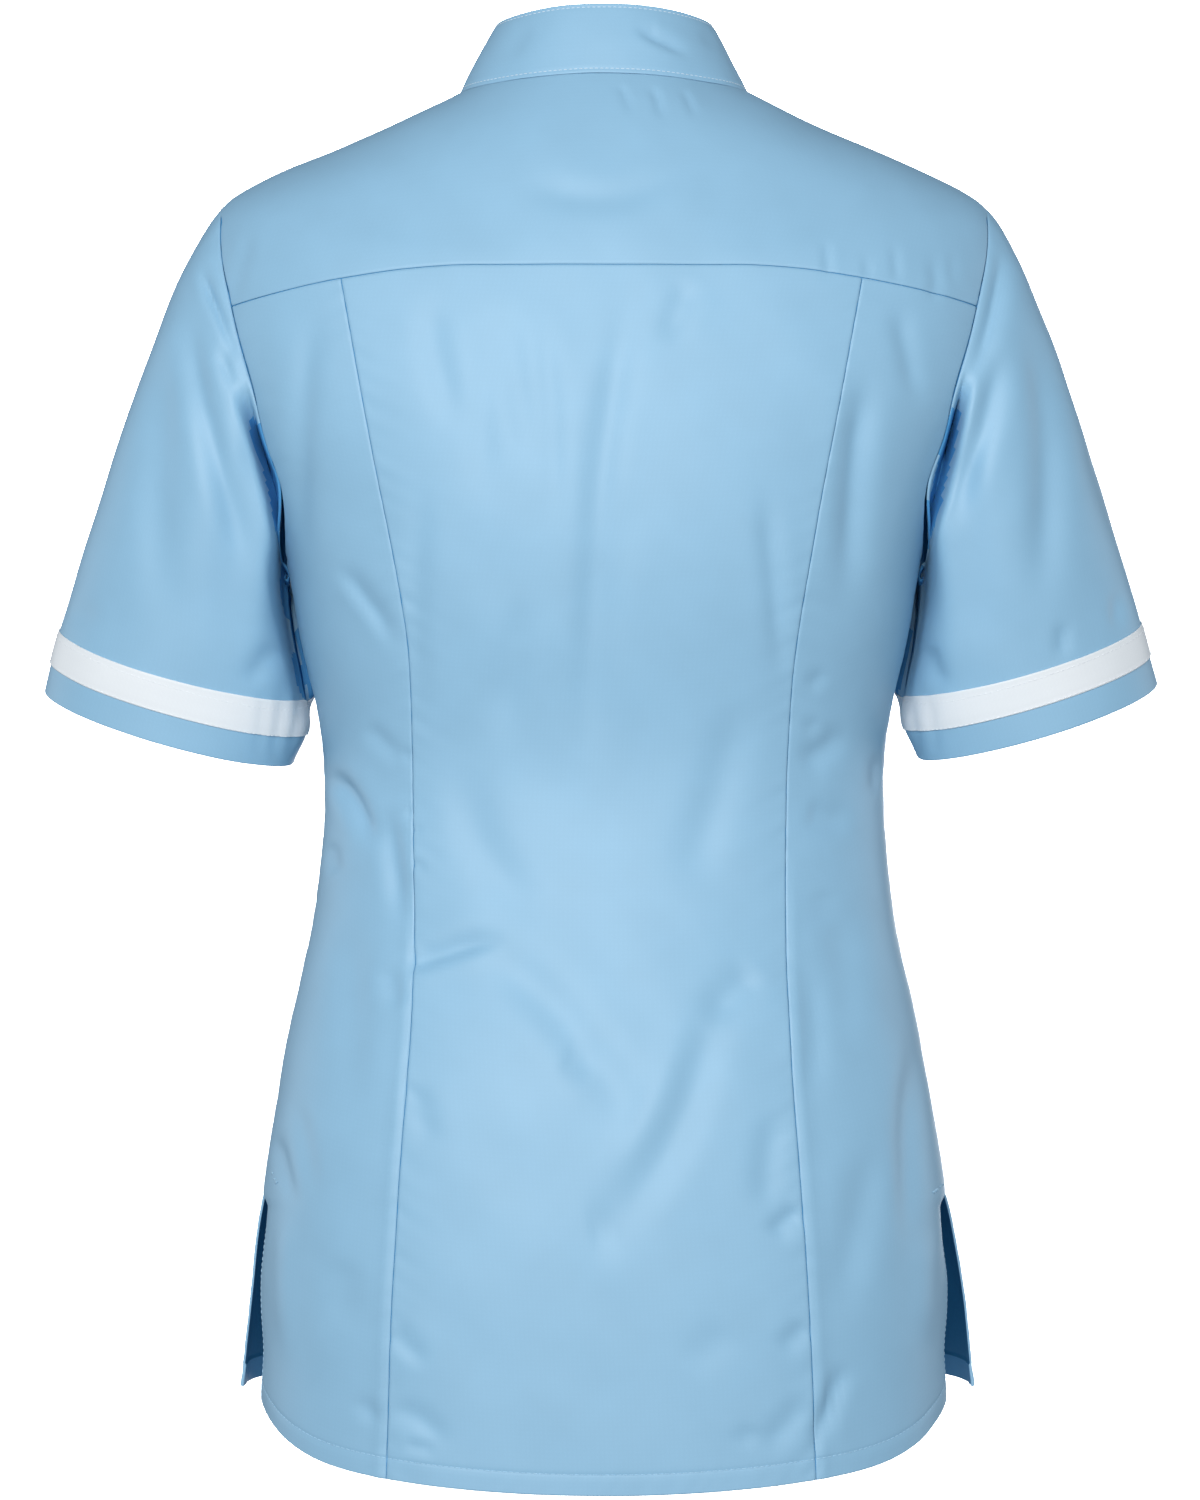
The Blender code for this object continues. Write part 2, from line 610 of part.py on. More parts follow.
def hole_cutter():
    """Four thin rods, the button's thread holes."""
    mesh = bmesh.new()
    for x in (-1, 1):
        for y in (-1, 1):
            made = bmesh.ops.create_cone(
                mesh, cap_ends=True, segments=BUTTON_HOLE["sides"], radius1=BUTTON_HOLE["radius"],
                radius2=BUTTON_HOLE["radius"], depth=4 * BUTTON["thick"])
            centre = (x * BUTTON_HOLE["pitch"], y * BUTTON_HOLE["pitch"], 0)
            bmesh.ops.translate(mesh, verts=made["verts"], vec=centre)
    data = bpy.data.meshes.new("button_holes")
    mesh.to_mesh(data)
    mesh.free()
    cutter = bpy.data.objects.new("button_holes", data)
    cutter.hide_render = True
    cutter.display_type = "WIRE"
    bpy.context.collection.objects.link(cutter)
    return cutter


def build_buttons():
    cutter = hole_cutter()
    for number in range(1, BUTTON_COUNT + 1):
        name = f"button_{number}"
        height = BUTTON_TOP - BUTTON_STEP * (number - 1)
        level = float(level_on(np.array(math.pi), lambda x, z=height: z))
        normal = body_normal(np.array(math.pi), np.array(level))
        seat = body(math.pi, level) + normal * (STAND_RISE + CLOTH + BUTTON_LIFT)
        thing = make_object(name, button_mesh(name), BUTTON_BLUE)
        side = np.array([-1.0, 0, 0])
        up = np.cross(normal, side)
        place = np.eye(4)
        place[:3] = np.stack([side, up, normal, seat], axis=1)
        holes = thing.modifiers.new("holes", "BOOLEAN")
        holes.operation = "DIFFERENCE"
        holes.solver = "EXACT"
        own = cutter.copy()
        own.name = f"button_holes_{number}"
        bpy.context.collection.objects.link(own)
        holes.object = own
        thing.matrix_world = Matrix(place.tolist())
        own.matrix_world = Matrix(place.tolist())
    bpy.data.objects.remove(cutter)


def main():
    for thing in list(bpy.data.objects):
        bpy.data.objects.remove(thing)

    right = back_grid(("outer", -1), ("seam", -1), SIDE_BACK_COLUMNS)
    middle = back_grid(("seam", -1), ("seam", 1), BACK_COLUMNS)
    left = back_grid(("seam", 1), ("outer", 1), SIDE_BACK_COLUMNS)
    body_wall("side_back_right", *right)
    body_wall("back_centre", *middle)
    body_wall("side_back_left", *left)

    corner = yoke_corner_level()
    foot = np.concatenate([right[0][-1], middle[0][-1][1:], left[0][-1][1:]])
    yoke = yoke_grid(foot, corner)
    body_wall("yoke_back", *yoke)

    outer = back_outer_levels()
    side_levels = outer[VENT_ROWS:VENT_ROWS + SIDE_ROWS + 1]
    levels = front_levels(side_levels)
    fronts = {side: front_grid(levels, side) for side in (1, -1)}
    body_wall("front_left", *fronts[1], flared=True)
    body_wall("front_right", *fronts[-1], flared=True)

    under = VENT_ROWS - 1 + SIDE_ROWS
    armhole_front = levels[under:under + ARMHOLE_FRONT_ROWS + 1]
    yoke_levels = spread_rows((corner, SHOULDER_POINT, YOKE_ARMHOLE_ROWS))
    armhole_back = outer[VENT_ROWS + SIDE_ROWS:]
    for side, word in ((1, "left"), (-1, "right")):
        build_sleeve(side, word, armhole_ring(armhole_back, yoke_levels, armhole_front, side))

    end = math.pi - COLLAR_END_TURN
    neck = np.concatenate([fronts[-1][0][-1], yoke[0][-1][1:-1], fronts[1][0][-1]])
    neck = neck[np.abs(neck) < end - COLLAR_LAST_STEP]
    build_collar(np.concatenate([[-end], neck, [end]]))
    build_buttons()


main()
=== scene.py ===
"""A work shirt as it looks: thin sewn cloth on the frame's solids, with folds placed one by one.

The back faces +Y and the camera, +X is the wearer's left and +Z is up. All sizes are in metres.
A body point has an angle round the wearer (0 centre back, a half turn centre front) and a level,
the height of its ring at the sides. Folds on the back and the sleeves are placed by where they
show in the 1200 x 1500 view, those on the hidden front by their place on the shirt.
"""
import math

import bpy
import numpy as np
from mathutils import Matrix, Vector


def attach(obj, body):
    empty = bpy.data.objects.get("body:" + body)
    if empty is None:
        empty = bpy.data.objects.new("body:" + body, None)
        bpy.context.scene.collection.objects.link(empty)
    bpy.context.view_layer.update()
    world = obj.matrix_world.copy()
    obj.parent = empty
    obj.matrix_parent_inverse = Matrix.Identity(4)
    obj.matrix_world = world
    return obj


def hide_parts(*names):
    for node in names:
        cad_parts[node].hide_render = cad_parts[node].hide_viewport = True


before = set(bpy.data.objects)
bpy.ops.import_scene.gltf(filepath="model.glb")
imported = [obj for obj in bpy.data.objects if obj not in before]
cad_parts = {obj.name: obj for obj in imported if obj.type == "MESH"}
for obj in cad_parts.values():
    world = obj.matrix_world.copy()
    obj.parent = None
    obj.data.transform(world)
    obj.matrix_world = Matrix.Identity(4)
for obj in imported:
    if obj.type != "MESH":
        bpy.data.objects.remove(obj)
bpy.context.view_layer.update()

# ---------------------------------------------------------------- the shirt's form

RINGS = (
    # level, half_width, side_y, back_y, front_y, back_z, front_z, back_power, front_power, crest
    (-0.710, 0.1710, 0.000, 0.113, -0.131, -0.710, -0.710, 2.5, 2.5, 2.0),
    (-0.630, 0.1715, 0.000, 0.116, -0.130, -0.630, -0.630, 2.5, 2.5, 2.0),
    (-0.554, 0.1710, 0.000, 0.115, -0.128, -0.554, -0.554, 2.5, 2.5, 2.0),
    (-0.508, 0.1645, 0.000, 0.111, -0.125, -0.508, -0.508, 2.5, 2.5, 2.0),
    (-0.468, 0.1572, 0.000, 0.104, -0.122, -0.468, -0.468, 2.4, 2.5, 2.0),
    (-0.428, 0.1485, 0.000, 0.094, -0.120, -0.428, -0.428, 2.3, 2.5, 2.0),
    (-0.387, 0.1423, 0.000, 0.087, -0.122, -0.387, -0.387, 2.3, 2.5, 2.0),
    (-0.347, 0.1402, 0.000, 0.085, -0.129, -0.347, -0.347, 2.3, 2.5, 2.0),
    (-0.306, 0.1452, 0.000, 0.091, -0.140, -0.306, -0.306, 2.3, 2.5, 2.0),
    (-0.279, 0.1515, 0.000, 0.097, -0.145, -0.279, -0.279, 2.4, 2.5, 2.0),
    (-0.245, 0.1575, 0.000, 0.103, -0.146, -0.245, -0.247, 2.5, 2.5, 2.0),
    (-0.200, 0.1705, 0.000, 0.107, -0.141, -0.200, -0.214, 2.5, 2.5, 2.0),
    (-0.160, 0.1895, 0.000, 0.106, -0.133, -0.160, -0.187, 2.5, 2.4, 3.0),
    (-0.110, 0.2000, 0.000, 0.101, -0.121, -0.118, -0.158, 2.4, 2.3, 4.0),
    (-0.0690, 0.1980, 0.000, 0.095, -0.109, -0.088, -0.135, 2.2, 2.2, 5.5),
    (-0.0575, 0.1920, 0.000, 0.093, -0.106, -0.080, -0.128, 2.1, 2.1, 6.0),
    (-0.0345, 0.1490, 0.000, 0.083, -0.092, -0.050, -0.106, 2.1, 2.1, 5.0),
    (-0.0145, 0.1020, 0.000, 0.069, -0.077, -0.018, -0.082, 2.1, 2.1, 3.0),
    (0.0000, 0.0725, 0.000, 0.055, -0.063, 0.005, -0.064, 2.1, 2.1, 2.0),
)
UNDERARM = -0.245
SHOULDER_POINT = -0.0575
NECK_SEAM = 0.0
SHOULDER_SEAM_FORWARD = 0.17
BUST = {"x": 0.085, "z": -0.262, "rise": 0.012, "spread": 0.062, "reach": 1.6}
ARMHOLE = (
    # level, back_x, front_x
    (-0.2450, 0.1575, 0.1575),
    (-0.2300, 0.1600, 0.1592),
    (-0.2000, 0.1600, 0.1600),
    (-0.1780, 0.1675, 0.1640),
    (-0.1590, 0.1720, 0.1685),
    (-0.1260, 0.1810, 0.1775),
    (-0.1050, 0.1860, 0.1835),
    (-0.0800, 0.1910, 0.1895),
    (-0.0575, 0.1920, 0.1920),
)
PANEL_SEAM = (
    # height, left_x, right_x
    (-0.700, 0.1068, 0.1040),
    (-0.627, 0.1045, 0.1011),
    (-0.575, 0.1021, 0.0981),
    (-0.530, 0.0992, 0.0948),
    (-0.468, 0.0946, 0.0907),
    (-0.412, 0.0931, 0.0892),
    (-0.342, 0.0944, 0.0902),
    (-0.286, 0.0962, 0.0937),
    (-0.233, 0.1038, 0.1018),
    (-0.198, 0.1110, 0.1080),
    (-0.151, 0.1199, 0.1171),
    (-0.090, 0.1310, 0.1285),
)
YOKE_SEAM = {"height": -0.0932, "flat_half": 0.070, "curve_half": 0.115, "drop": 0.017, "power": 1.6}
BACK_HEM = {"height": -0.6943, "half": 0.171, "bow": 0.0165, "corner": 0.019, "corner_power": 11}
VENT_TOP = -0.554
FRONT_HEM = -0.653
VENT_FLARE = {1: (0.0117, 1.0), -1: (0.0157, 0.8)}
STAND_HALF = 0.017
STAND_RISE = 0.0018
RISE_ENDS = 0.0195
RISE_STARTS = 0.040
COLLAR_TOP = (0.0345, 0.0535, -0.002, 0.0440, -0.0500, 0.0410, -0.0270, 2.3, 2.1, 2.6)
COLLAR_END_TURN = 0.016
COLLAR_CORNER = 0.012
COLLAR_WALL = 0.0016
COLLAR_DROP = 0.00042
COLLAR_LIFT = 0.0012
COLLAR_STITCH = 0.002
SLEEVE_HEMS = {
    # side: x, y, z, half_width, half_depth, degrees the sleeve spreads, degrees it hangs forward
    1: (0.2205, -0.016, -0.3189, 0.0657, 0.0470, 16.2, 12.0),
    -1: (0.2198, -0.016, -0.3155, 0.0637, 0.0470, 17.2, 11.5),
}
SLEEVE_LEAVES = (
    # turn (0 shoulder, 0.25 back, 0.5 underarm, 0.75 front), x, y, z, hem_pull
    (0.00, 0.080, 0.000, -0.082, 0.262),
    (0.25, 0.080, 0.010, -0.075, 0.180),
    (0.50, 0.010, 0.000, -0.085, 0.095),
    (0.75, 0.080, -0.010, -0.075, 0.180),
)
TAPE_WIDTH = 0.016
TAPE_ABOVE_HEM = 0.015
SEAM_GAP = 0.0003
WALL = 0.0012
FOLD_OVER_BELOW = 0.25

# ---------------------------------------------------------------- how the cloth is sewn

CLOTH = 0.0006
CLOTH_LIFT = 0.0003
THINNEST = 0.0002
HEM_WIDTH = 0.0105
VENT_TURN = 0.0165
TURNING = 0.009
TURNING_PAST = 0.0012
SEAM_INSET = 0.00016
SEAM_DIP = 0.00038
SEAM_DIP_WIDTH = 0.0005
NECK_DIP_SHARE = 0.4
FOLD_ROUND = 0.0007
RIDGE_FADES = (-0.45, -0.36)
STEP = 0.0023

HALVINGS = 34
SEAM_PASSES = 4
GRID_PASSES = 8
JUST_BEHIND_SIDE = 0.0005
TURNING_ROWS = 8
NORMAL_TURN = 0.004
NORMAL_RISE = 0.0008

# ---------------------------------------------------------------- folds

VIEW_SCALE = 0.000506
VIEW_MIDDLE = (604, 750)
VIEW_HEIGHT = -0.331
VIEW_DISTANCE = 3.0
# how far behind the wearer's middle these lie, for reading places off the view
BACK_DEPTH, SLEEVE_DEPTH, COLLAR_DEPTH, VENT_DEPTH = 0.09, 0.035, 0.05, 0.02
FOLD_GAIN = 1.8
FRONT_GAIN = 1.3 * FOLD_GAIN
UNDERARM_IN = 0.0048
UNDERARM_REST = 0.014

BACK_FOLDS = (
    # depth mm, half width mm, lean, then the fold's line in the view
    (0.9, 8, 0.0, (515, 176), (563, 194), (615, 197), (660, 182), (697, 160)),
    (0.7, 2.4, 0.0, (618, 76), (626, 92), (630, 112)),
    (0.8, 2.6, 0.0, (650, 78), (658, 96), (662, 118)),
    (0.6, 2.4, 0.0, (682, 82), (690, 98), (694, 116)),
    (0.7, 2.5, 0.0, (826, 237), (828, 285)),
    (0.6, 2.5, 0.0, (867, 255), (868, 281)),
    (0.7, 3, 0.0, (893, 240), (897, 268), (892, 285)),
    (0.9, 4, 0.0, (930, 250), (938, 275), (930, 304)),
    (0.6, 3, 0.0, (952, 250), (958, 281)),
    (0.8, 4, 0.0, (250, 222), (236, 262), (228, 300)),
    (1.6, 7, 0.0, (316, 305), (304, 385), (300, 470), (303, 563)),
    (1.7, 5, 0.3, (336, 560), (357, 590), (378, 618), (399, 652)),
    (1.0, 5, 0.0, (362, 722), (385, 745), (406, 765)),
    (1.5, 8, 0.0, (640, 270), (622, 340), (608, 420), (598, 500), (590, 600), (580, 750)),
    (1.0, 7, 0.0, (690, 279), (664, 350)),
    (1.0, 8, 0.0, (430, 290), (438, 360), (462, 440)),
    (1.0, 9, 0.0, (508, 296), (520, 400), (548, 500)),
    (1.1, 10, 0.0, (628, 470), (606, 590), (592, 700), (584, 800)),
    (1.4, 12, 0.0, (470, 760), (474, 830), (520, 900), (560, 930)),
    (1.3, 11, 0.0, (742, 690), (720, 780), (700, 850), (690, 905)),
    (1.5, 10, 0.0, (355, 905), (350, 980), (352, 1060), (345, 1130)),
    (1.3, 10, 0.0, (838, 900), (846, 980), (842, 1060)),
    (0.7, 8, 0.0, (489, 296), (482, 519)),
    (0.8, 6, 0.0, (541, 300), (552, 415), (556, 540)),
    (1.0, 7, 0.0, (425, 470), (416, 593), (418, 740)),
    (1.0, 9, 0.0, (523, 593), (512, 660), (500, 750)),
    (1.4, 6, 0.0, (763, 480), (774, 593), (784, 704)),
    (3.0, 8, 0.0, (868, 360), (857, 444), (852, 519), (846, 620)),
    (1.4, 6, 0.0, (897, 300), (905, 340), (921, 410)),
    (0.8, 4, 0.0, (806, 690), (828, 668)),
    (0.8, 4, 0.0, (802, 735), (822, 718)),
    (1.6, 7, 0.0, (800, 770), (830, 745), (856, 733)),
    (1.6, 9, 0.0, (803, 812), (830, 820), (858, 822)),
    (1.0, 4, 0.0, (881, 752), (878, 800)),
    (3.2, 5.5, 0.0, (320, 768), (345, 795), (364, 828), (374, 856)),
    (1.2, 5, 0.0, (326, 842), (333, 880)),
    (2.2, 6, 0.0, (384, 800), (389, 838), (396, 880), (402, 935)),
    (1.3, 6, 0.0, (386, 965), (398, 1015)),
    (0.6, 2.5, 0.0, (410, 831), (424, 831)),
    (0.6, 2.5, 0.0, (410, 863), (428, 868)),
    (0.6, 3, 0.0, (399, 753), (414, 758)),
    (0.8, 3, 0.0, (404, 812), (414, 818)),
    (2.1, 5.5, 0.3, (396, 974), (414, 966), (440, 957), (476, 945), (510, 938)),
    (1.6, 12, 0.0, (470, 935), (505, 965), (550, 1004), (585, 1045), (615, 1090), (640, 1150)),
    (1.8, 10, 0.0, (758, 966), (730, 995), (700, 1020)),
    (1.6, 11, 0.0, (728, 975), (702, 1045), (682, 1110), (652, 1170), (620, 1215), (590, 1262)),
    (-1.1, 10, 0.0, (700, 1000), (664, 1085), (632, 1145), (598, 1185)),
    (0.8, 10, 0.0, (560, 1055), (600, 1068)),
    (0.8, 14, 0.0, (585, 1228), (625, 1220)),
    (1.3, 8, 0.0, (778, 1100), (766, 1165), (768, 1225)),
    (1.6, 6, 0.0, (800, 1205), (780, 1222), (768, 1238)),
    (1.2, 6, 0.0, (806, 1318), (795, 1332), (776, 1350)),
    (0.6, 10, 0.0, (733, 1322), (705, 1345), (680, 1362)),
    (1.1, 7, 0.0, (810, 1390), (790, 1415), (768, 1440), (758, 1458)),
    (0.8, 6, 0.0, (752, 1420), (738, 1445)),
    (2.2, 5, 0.0, (843, 1358), (830, 1398), (818, 1430), (815, 1458)),
    (1.6, 10, 0.0, (876, 1130), (862, 1200), (846, 1275), (836, 1330)),
    (2.4, 7, 0.0, (920, 1032), (911, 1110), (909, 1200), (912, 1270)),
    (1.4, 7, 0.0, (812, 960), (814, 1050), (808, 1110)),
    (0.8, 8, 0.0, (820, 890), (828, 930)),
    (0.9, 5, 0.0, (292, 1098), (303, 1140), (315, 1205)),
    (1.4, 4.5, 0.0, (270, 1136), (281, 1170), (293, 1215)),
    (1.0, 10, 0.0, (346, 1255), (344, 1335)),
    (0.8, 7, 0.0, (412, 1075), (422, 1110), (436, 1150)),
    (0.9, 5.5, 0.0, (394, 1322), (412, 1345), (433, 1362)),
    (1.0, 6, 0.0, (388, 1405), (420, 1414), (452, 1446)),
    (0.8, 3.5, 0.0, (404, 1441), (440, 1447)),
    (1.0, 5, 0.0, (360, 1396), (382, 1426)),
    (-1.2, 6, 0.0, (284, 1210), (282, 1300), (287, 1380)),
    (-1.4, 7, 0.0, (930, 1230), (928, 1300), (930, 1360)),
)
SLEEVE_FOLDS = {
    1: (
        # depth mm, half width mm, lean, then the fold's line in the view
        (2.6, 3.5, 0.3, (199, 264), (208, 290), (222, 318), (245, 366)),
        (2.6, 7, 0.0, (190, 296), (197, 370), (214, 440), (235, 520), (252, 590)),
        (2.2, 11, 0.0, (168, 320), (160, 440), (160, 556), (172, 640)),
        (1.5, 6, 0.0, (276, 640), (262, 662), (244, 690)),
        (1.0, 8, 0.0, (80, 600), (84, 630)),
        (1.2, 4, 0.0, (222, 352), (238, 392)),
        (0.5, 2.2, 0.0, (262, 684), (259, 715), (253, 770)),
        (0.6, 2.4, 0.0, (279, 684), (276, 715), (268, 770)),
        (0.6, 2.0, 0.0, (293, 684), (291, 715), (284, 765)),
    ),
    -1: (
        (3.0, 7, 0.0, (1003, 235), (985, 318), (962, 375), (945, 405)),
        (2.6, 7, 0.0, (1000, 340), (984, 420), (964, 480), (948, 540)),
        (2.8, 9, 0.0, (1024, 309), (1042, 388), (1046, 487), (1041, 580), (1034, 625)),
        (1.4, 4, 0.0, (1060, 622), (1064, 660)),
        (1.4, 4, 0.0, (1118, 590), (1119, 632)),
        (1.4, 5, 0.0, (928, 640), (938, 670), (950, 692)),
        (1.0, 8, 0.0, (1090, 430), (1126, 548)),
        (0.6, 2.2, 0.0, (912, 684), (918, 715), (926, 765)),
        (0.5, 2.4, 0.0, (932, 688), (936, 715), (942, 768)),
    ),
}
SLEEVE_TUCKS = {
    # the deep tucks where the sleeves turn in under the arms, in the same columns
    1: (
        (36.0, 5.4, 0.0, (243, 386), (251, 410), (260, 436), (269, 468), (277, 502), (284, 552), (287, 590)),
        (30.0, 7.6, 0.0, (278, 530), (286, 595), (293, 630), (300, 665), (306, 700), (308, 745)),
    ),
    -1: (
        (36.0, 5.4, 0.0, (962, 374), (957, 398), (951, 426), (944, 460), (936, 495), (924, 540), (915, 585)),
        (30.0, 7.6, 0.0, (926, 520), (918, 585), (911, 625), (904, 662), (899, 700), (896, 742)),
    ),
}
COLLAR_FOLDS = (
    # depth mm, half width mm, lean, then the fold's line in the view
    (1.5, 3.2, 0.3, (632, 27), (642, 33), (662, 43), (692, 56)),
    (0.5, 5, 0.0, (533, 22), (520, 38), (508, 60)),
    (0.5, 4, 0.0, (700, 25), (715, 45)),
    (0.4, 2.5, 0.0, (648, 24), (656, 30)),
)
FRONT_FOLDS = (
    # depth mm, half width mm, lean, then the fold's line across and up the front, in mm
    (1.8, 8, 0.0, (150, -185), (122, -222), (108, -246)),
    (1.4, 6, 0.0, (-152, -190), (-128, -215), (-112, -240)),
    (1.2, 9, 0.0, (96, -120), (90, -165), (86, -205)),
    (1.0, 8, 0.0, (-98, -112), (-92, -160)),
    (1.8, 9, 0.0, (118, -330), (100, -352), (72, -362)),
    (1.6, 8, 0.0, (-122, -338), (-98, -358), (-64, -352)),
    (1.3, 8, 0.0, (112, -398), (84, -412), (52, -404)),
    (1.6, 10, 0.0, (-108, -402), (-88, -424), (-70, -458)),
    (1.5, 12, 0.0, (60, -440), (66, -520), (62, -600)),
    (1.3, 12, 0.0, (-52, -470), (-60, -540), (-58, -625)),
    (1.6, 10, 0.0, (112, -480), (118, -560), (114, -640)),
    (1.4, 9, 0.0, (-120, -500), (-124, -570), (-118, -640)),
    (0.9, 5, 0.0, (44, -285), (62, -296)),
    (0.8, 5, 0.0, (-46, -372), (-30, -380)),
)
SLEEVE_FRONT_FOLDS = {
    1: (
        (2.4, 8, 0.0, (186, -120), (196, -180), (206, -250)),
        (2.0, 9, 0.0, (214, -150), (232, -220), (238, -285)),
        (1.8, 6, 0.0, (176, -160), (182, -210)),
    ),
    -1: (
        (2.6, 8, 0.0, (-188, -128), (-200, -195), (-206, -262)),
        (1.8, 9, 0.0, (-216, -140), (-230, -205), (-240, -270)),
        (1.6, 6, 0.0, (-178, -170), (-186, -225)),
    ),
}


def curve_columns(table, at):
    """Read every column of a table at values of its first column, along a smooth curve."""
    rows = np.array(table, dtype=float)
    keys, values = rows[:, 0], rows[:, 1:]
    count, step = len(keys), np.diff(keys)
    system, load = np.eye(count), np.zeros_like(values)
    for i in range(1, count - 1):
        system[i, i - 1:i + 2] = step[i - 1], 2 * (step[i - 1] + step[i]), step[i]
        change = (values[i + 1] - values[i]) / step[i] - (values[i] - values[i - 1]) / step[i - 1]
        load[i] = 6 * change
    bend = np.linalg.solve(system, load)
    at = np.clip(np.asarray(at, dtype=float), keys[0], keys[-1])
    low = np.clip(np.searchsorted(keys, at) - 1, 0, count - 2)
    gap = step[low][..., None]
    above = (at - keys[low])[..., None] / gap
    below = 1 - above
    bent = (below**3 - below) * bend[low] + (above**3 - above) * bend[low + 1]
    result = below * values[low] + above * values[low + 1] + bent * gap**2 / 6
    return np.moveaxis(result, -1, 0)


def unit(vectors):
    return vectors / np.maximum(np.linalg.norm(vectors, axis=-1, keepdims=True), 1e-12)


def smooth(value, start, end):
    """0 before start, 1 after end, and a soft step between them."""
    part = np.clip((value - start) / (end - start), 0, 1)
    return part * part * (3 - 2 * part)


def bell(distance, at, width):
    """A soft bump, 1 high, round a distance."""
    return np.exp(-((distance - at) / width)**2)


def walk(points):
    """Distance walked along a line of points."""
    return np.concatenate([[0], np.cumsum(np.linalg.norm(np.diff(points, axis=0), axis=1))])


def read_at(at, walked, values):
    """Read a line's points or normals at a distance along it."""
    return np.array([np.interp(at, walked, values[:, i]) for i in range(3)])


def ring_point(angle, level, columns, widen=0.0):
    """A point on a ring: a rounded outline in plan, tilted between its sides and its middle."""
    half_width, side_y, back_y, front_y, back_z, front_z, back_power, front_power, crest = columns
    at_back = np.cos(angle) >= 0
    half_width = half_width + widen
    depth = np.where(at_back, back_y - side_y, side_y - front_y)
    middle_z = np.where(at_back, back_z, front_z)
    power = np.where(at_back, back_power, front_power)
    across, along = np.abs(np.sin(angle)), np.abs(np.cos(angle))
    radius = ((across / half_width)**power + (along / depth)**power)**(-1 / power)
    z = level + (middle_z - level) * (1 - across**crest)
    return np.stack([radius * np.sin(angle), side_y + radius * np.cos(angle), z], axis=-1)


def vent_flare(level, side):
    part = np.clip((VENT_TOP - level) / (VENT_TOP - FRONT_HEM), 0, 1)
    (left, left_power), (right, right_power) = VENT_FLARE[1], VENT_FLARE[-1]
    return np.where(side > 0, left * part**left_power, right * part**right_power)


def body(angle, level, flared=False):
    """Points of the body's inner face at these angles and levels; a front flares at its vent."""
    angle, level = np.broadcast_arrays(np.asarray(angle, dtype=float), np.asarray(level, dtype=float))
    side = np.where(np.sin(angle) >= 0, 1, -1)
    widen = vent_flare(level, side) if flared else 0.0
    points = ring_point(angle, level, curve_columns(RINGS, level), widen)
    x, z = points[..., 0], points[..., 2]
    at_front = np.clip(-BUST["reach"] * np.cos(angle), 0, 1)**2
    for half in (1, -1):
        away = (x - half * BUST["x"])**2 + (z - BUST["z"])**2
        points[..., 1] -= BUST["rise"] * at_front * np.exp(-away / BUST["spread"]**2)
    return points


def body_normal(angle, level, flared=False):
    """Outward normals of the body."""
    low = np.minimum(level, NECK_SEAM - NORMAL_RISE)
    round_it = body(angle + NORMAL_TURN, low, flared) - body(angle - NORMAL_TURN, low, flared)
    up_it = body(angle, low + NORMAL_RISE, flared) - body(angle, low - NORMAL_RISE, flared)
    return unit(np.cross(up_it, round_it))


def angle_at(level, half_breadth, at_back, side=1):
    """The angle at which a ring reaches this distance from the centre line."""
    columns = curve_columns(RINGS, level)
    half_width, side_y, back_y, front_y, _, _, back_power, front_power, _ = columns
    depth = back_y - side_y if at_back else side_y - front_y
    power = back_power if at_back else front_power
    width = half_width if at_back else half_width + vent_flare(level, side)
    share = np.clip(half_breadth / width, 0, 1)
    from_middle = np.arctan2(half_breadth, depth * (1 - share**power)**(1 / power))
    return from_middle if at_back else math.pi - from_middle


def yoke_seam_height(x):
    part = np.maximum(np.abs(x) - YOKE_SEAM["flat_half"], 0) / YOKE_SEAM["curve_half"]
    return YOKE_SEAM["height"] - YOKE_SEAM["drop"] * part**YOKE_SEAM["power"]


def back_hem_height(x):
    part = np.abs(x) / BACK_HEM["half"]
    corner = BACK_HEM["corner"] * part**BACK_HEM["corner_power"]
    return BACK_HEM["height"] + BACK_HEM["bow"] * part**2 + corner


def level_on(angle, height_rule):
    """The level at which the body, at this angle, reaches a height that depends on x."""
    low = np.full(np.shape(angle), RINGS[0][0])
    high = np.full(np.shape(angle), NECK_SEAM)
    for _ in range(HALVINGS):
        middle = (low + high) / 2
        point = body(angle, middle)
        below = point[..., 2] < height_rule(point[..., 0])
        low, high = np.where(below, middle, low), np.where(below, high, middle)
    return (low + high) / 2


def outer_angle(level, at_back, side=1):
    """The angle of a panel's outer edge: side seam, then armhole, then shoulder seam."""
    level = np.asarray(level, dtype=float)
    back_x, front_x = curve_columns(ARMHOLE, level)
    armhole = angle_at(level, back_x if at_back else front_x, at_back, side)
    climb = np.clip((level - SHOULDER_POINT) / (NECK_SEAM - SHOULDER_POINT), 0, 1)
    seam = math.pi / 2 + SHOULDER_SEAM_FORWARD * climb
    in_armhole = (level > UNDERARM) & (level < SHOULDER_POINT)
    return np.where(in_armhole, armhole, seam)


def panel_seam_angle(level, side):
    """The angle of a panel seam on the rings at these levels."""
    height = level
    for _ in range(SEAM_PASSES):
        left_x, right_x = curve_columns(PANEL_SEAM, height)
        angle = side * angle_at(level, left_x if side > 0 else right_x, True)
        height = body(angle, level)[..., 2]
    return angle


def spread_rows(*stretches):
    """Row positions through several stretches, each (start, end, count)."""
    rows = [stretches[0][0]]
    for start, end, count in stretches:
        rows.extend(start + (end - start) * (i + 1) / count for i in range(count))
    return np.array(rows)


def yoke_corner_level():
    """The level where the yoke seam meets the armhole."""
    low, high = UNDERARM, SHOULDER_POINT
    for _ in range(HALVINGS):
        middle = (low + high) / 2
        point = body(outer_angle(middle, True), middle)
        if point[2] < yoke_seam_height(point[0]):
            low = middle
        else:
            high = middle
    return (low + high) / 2


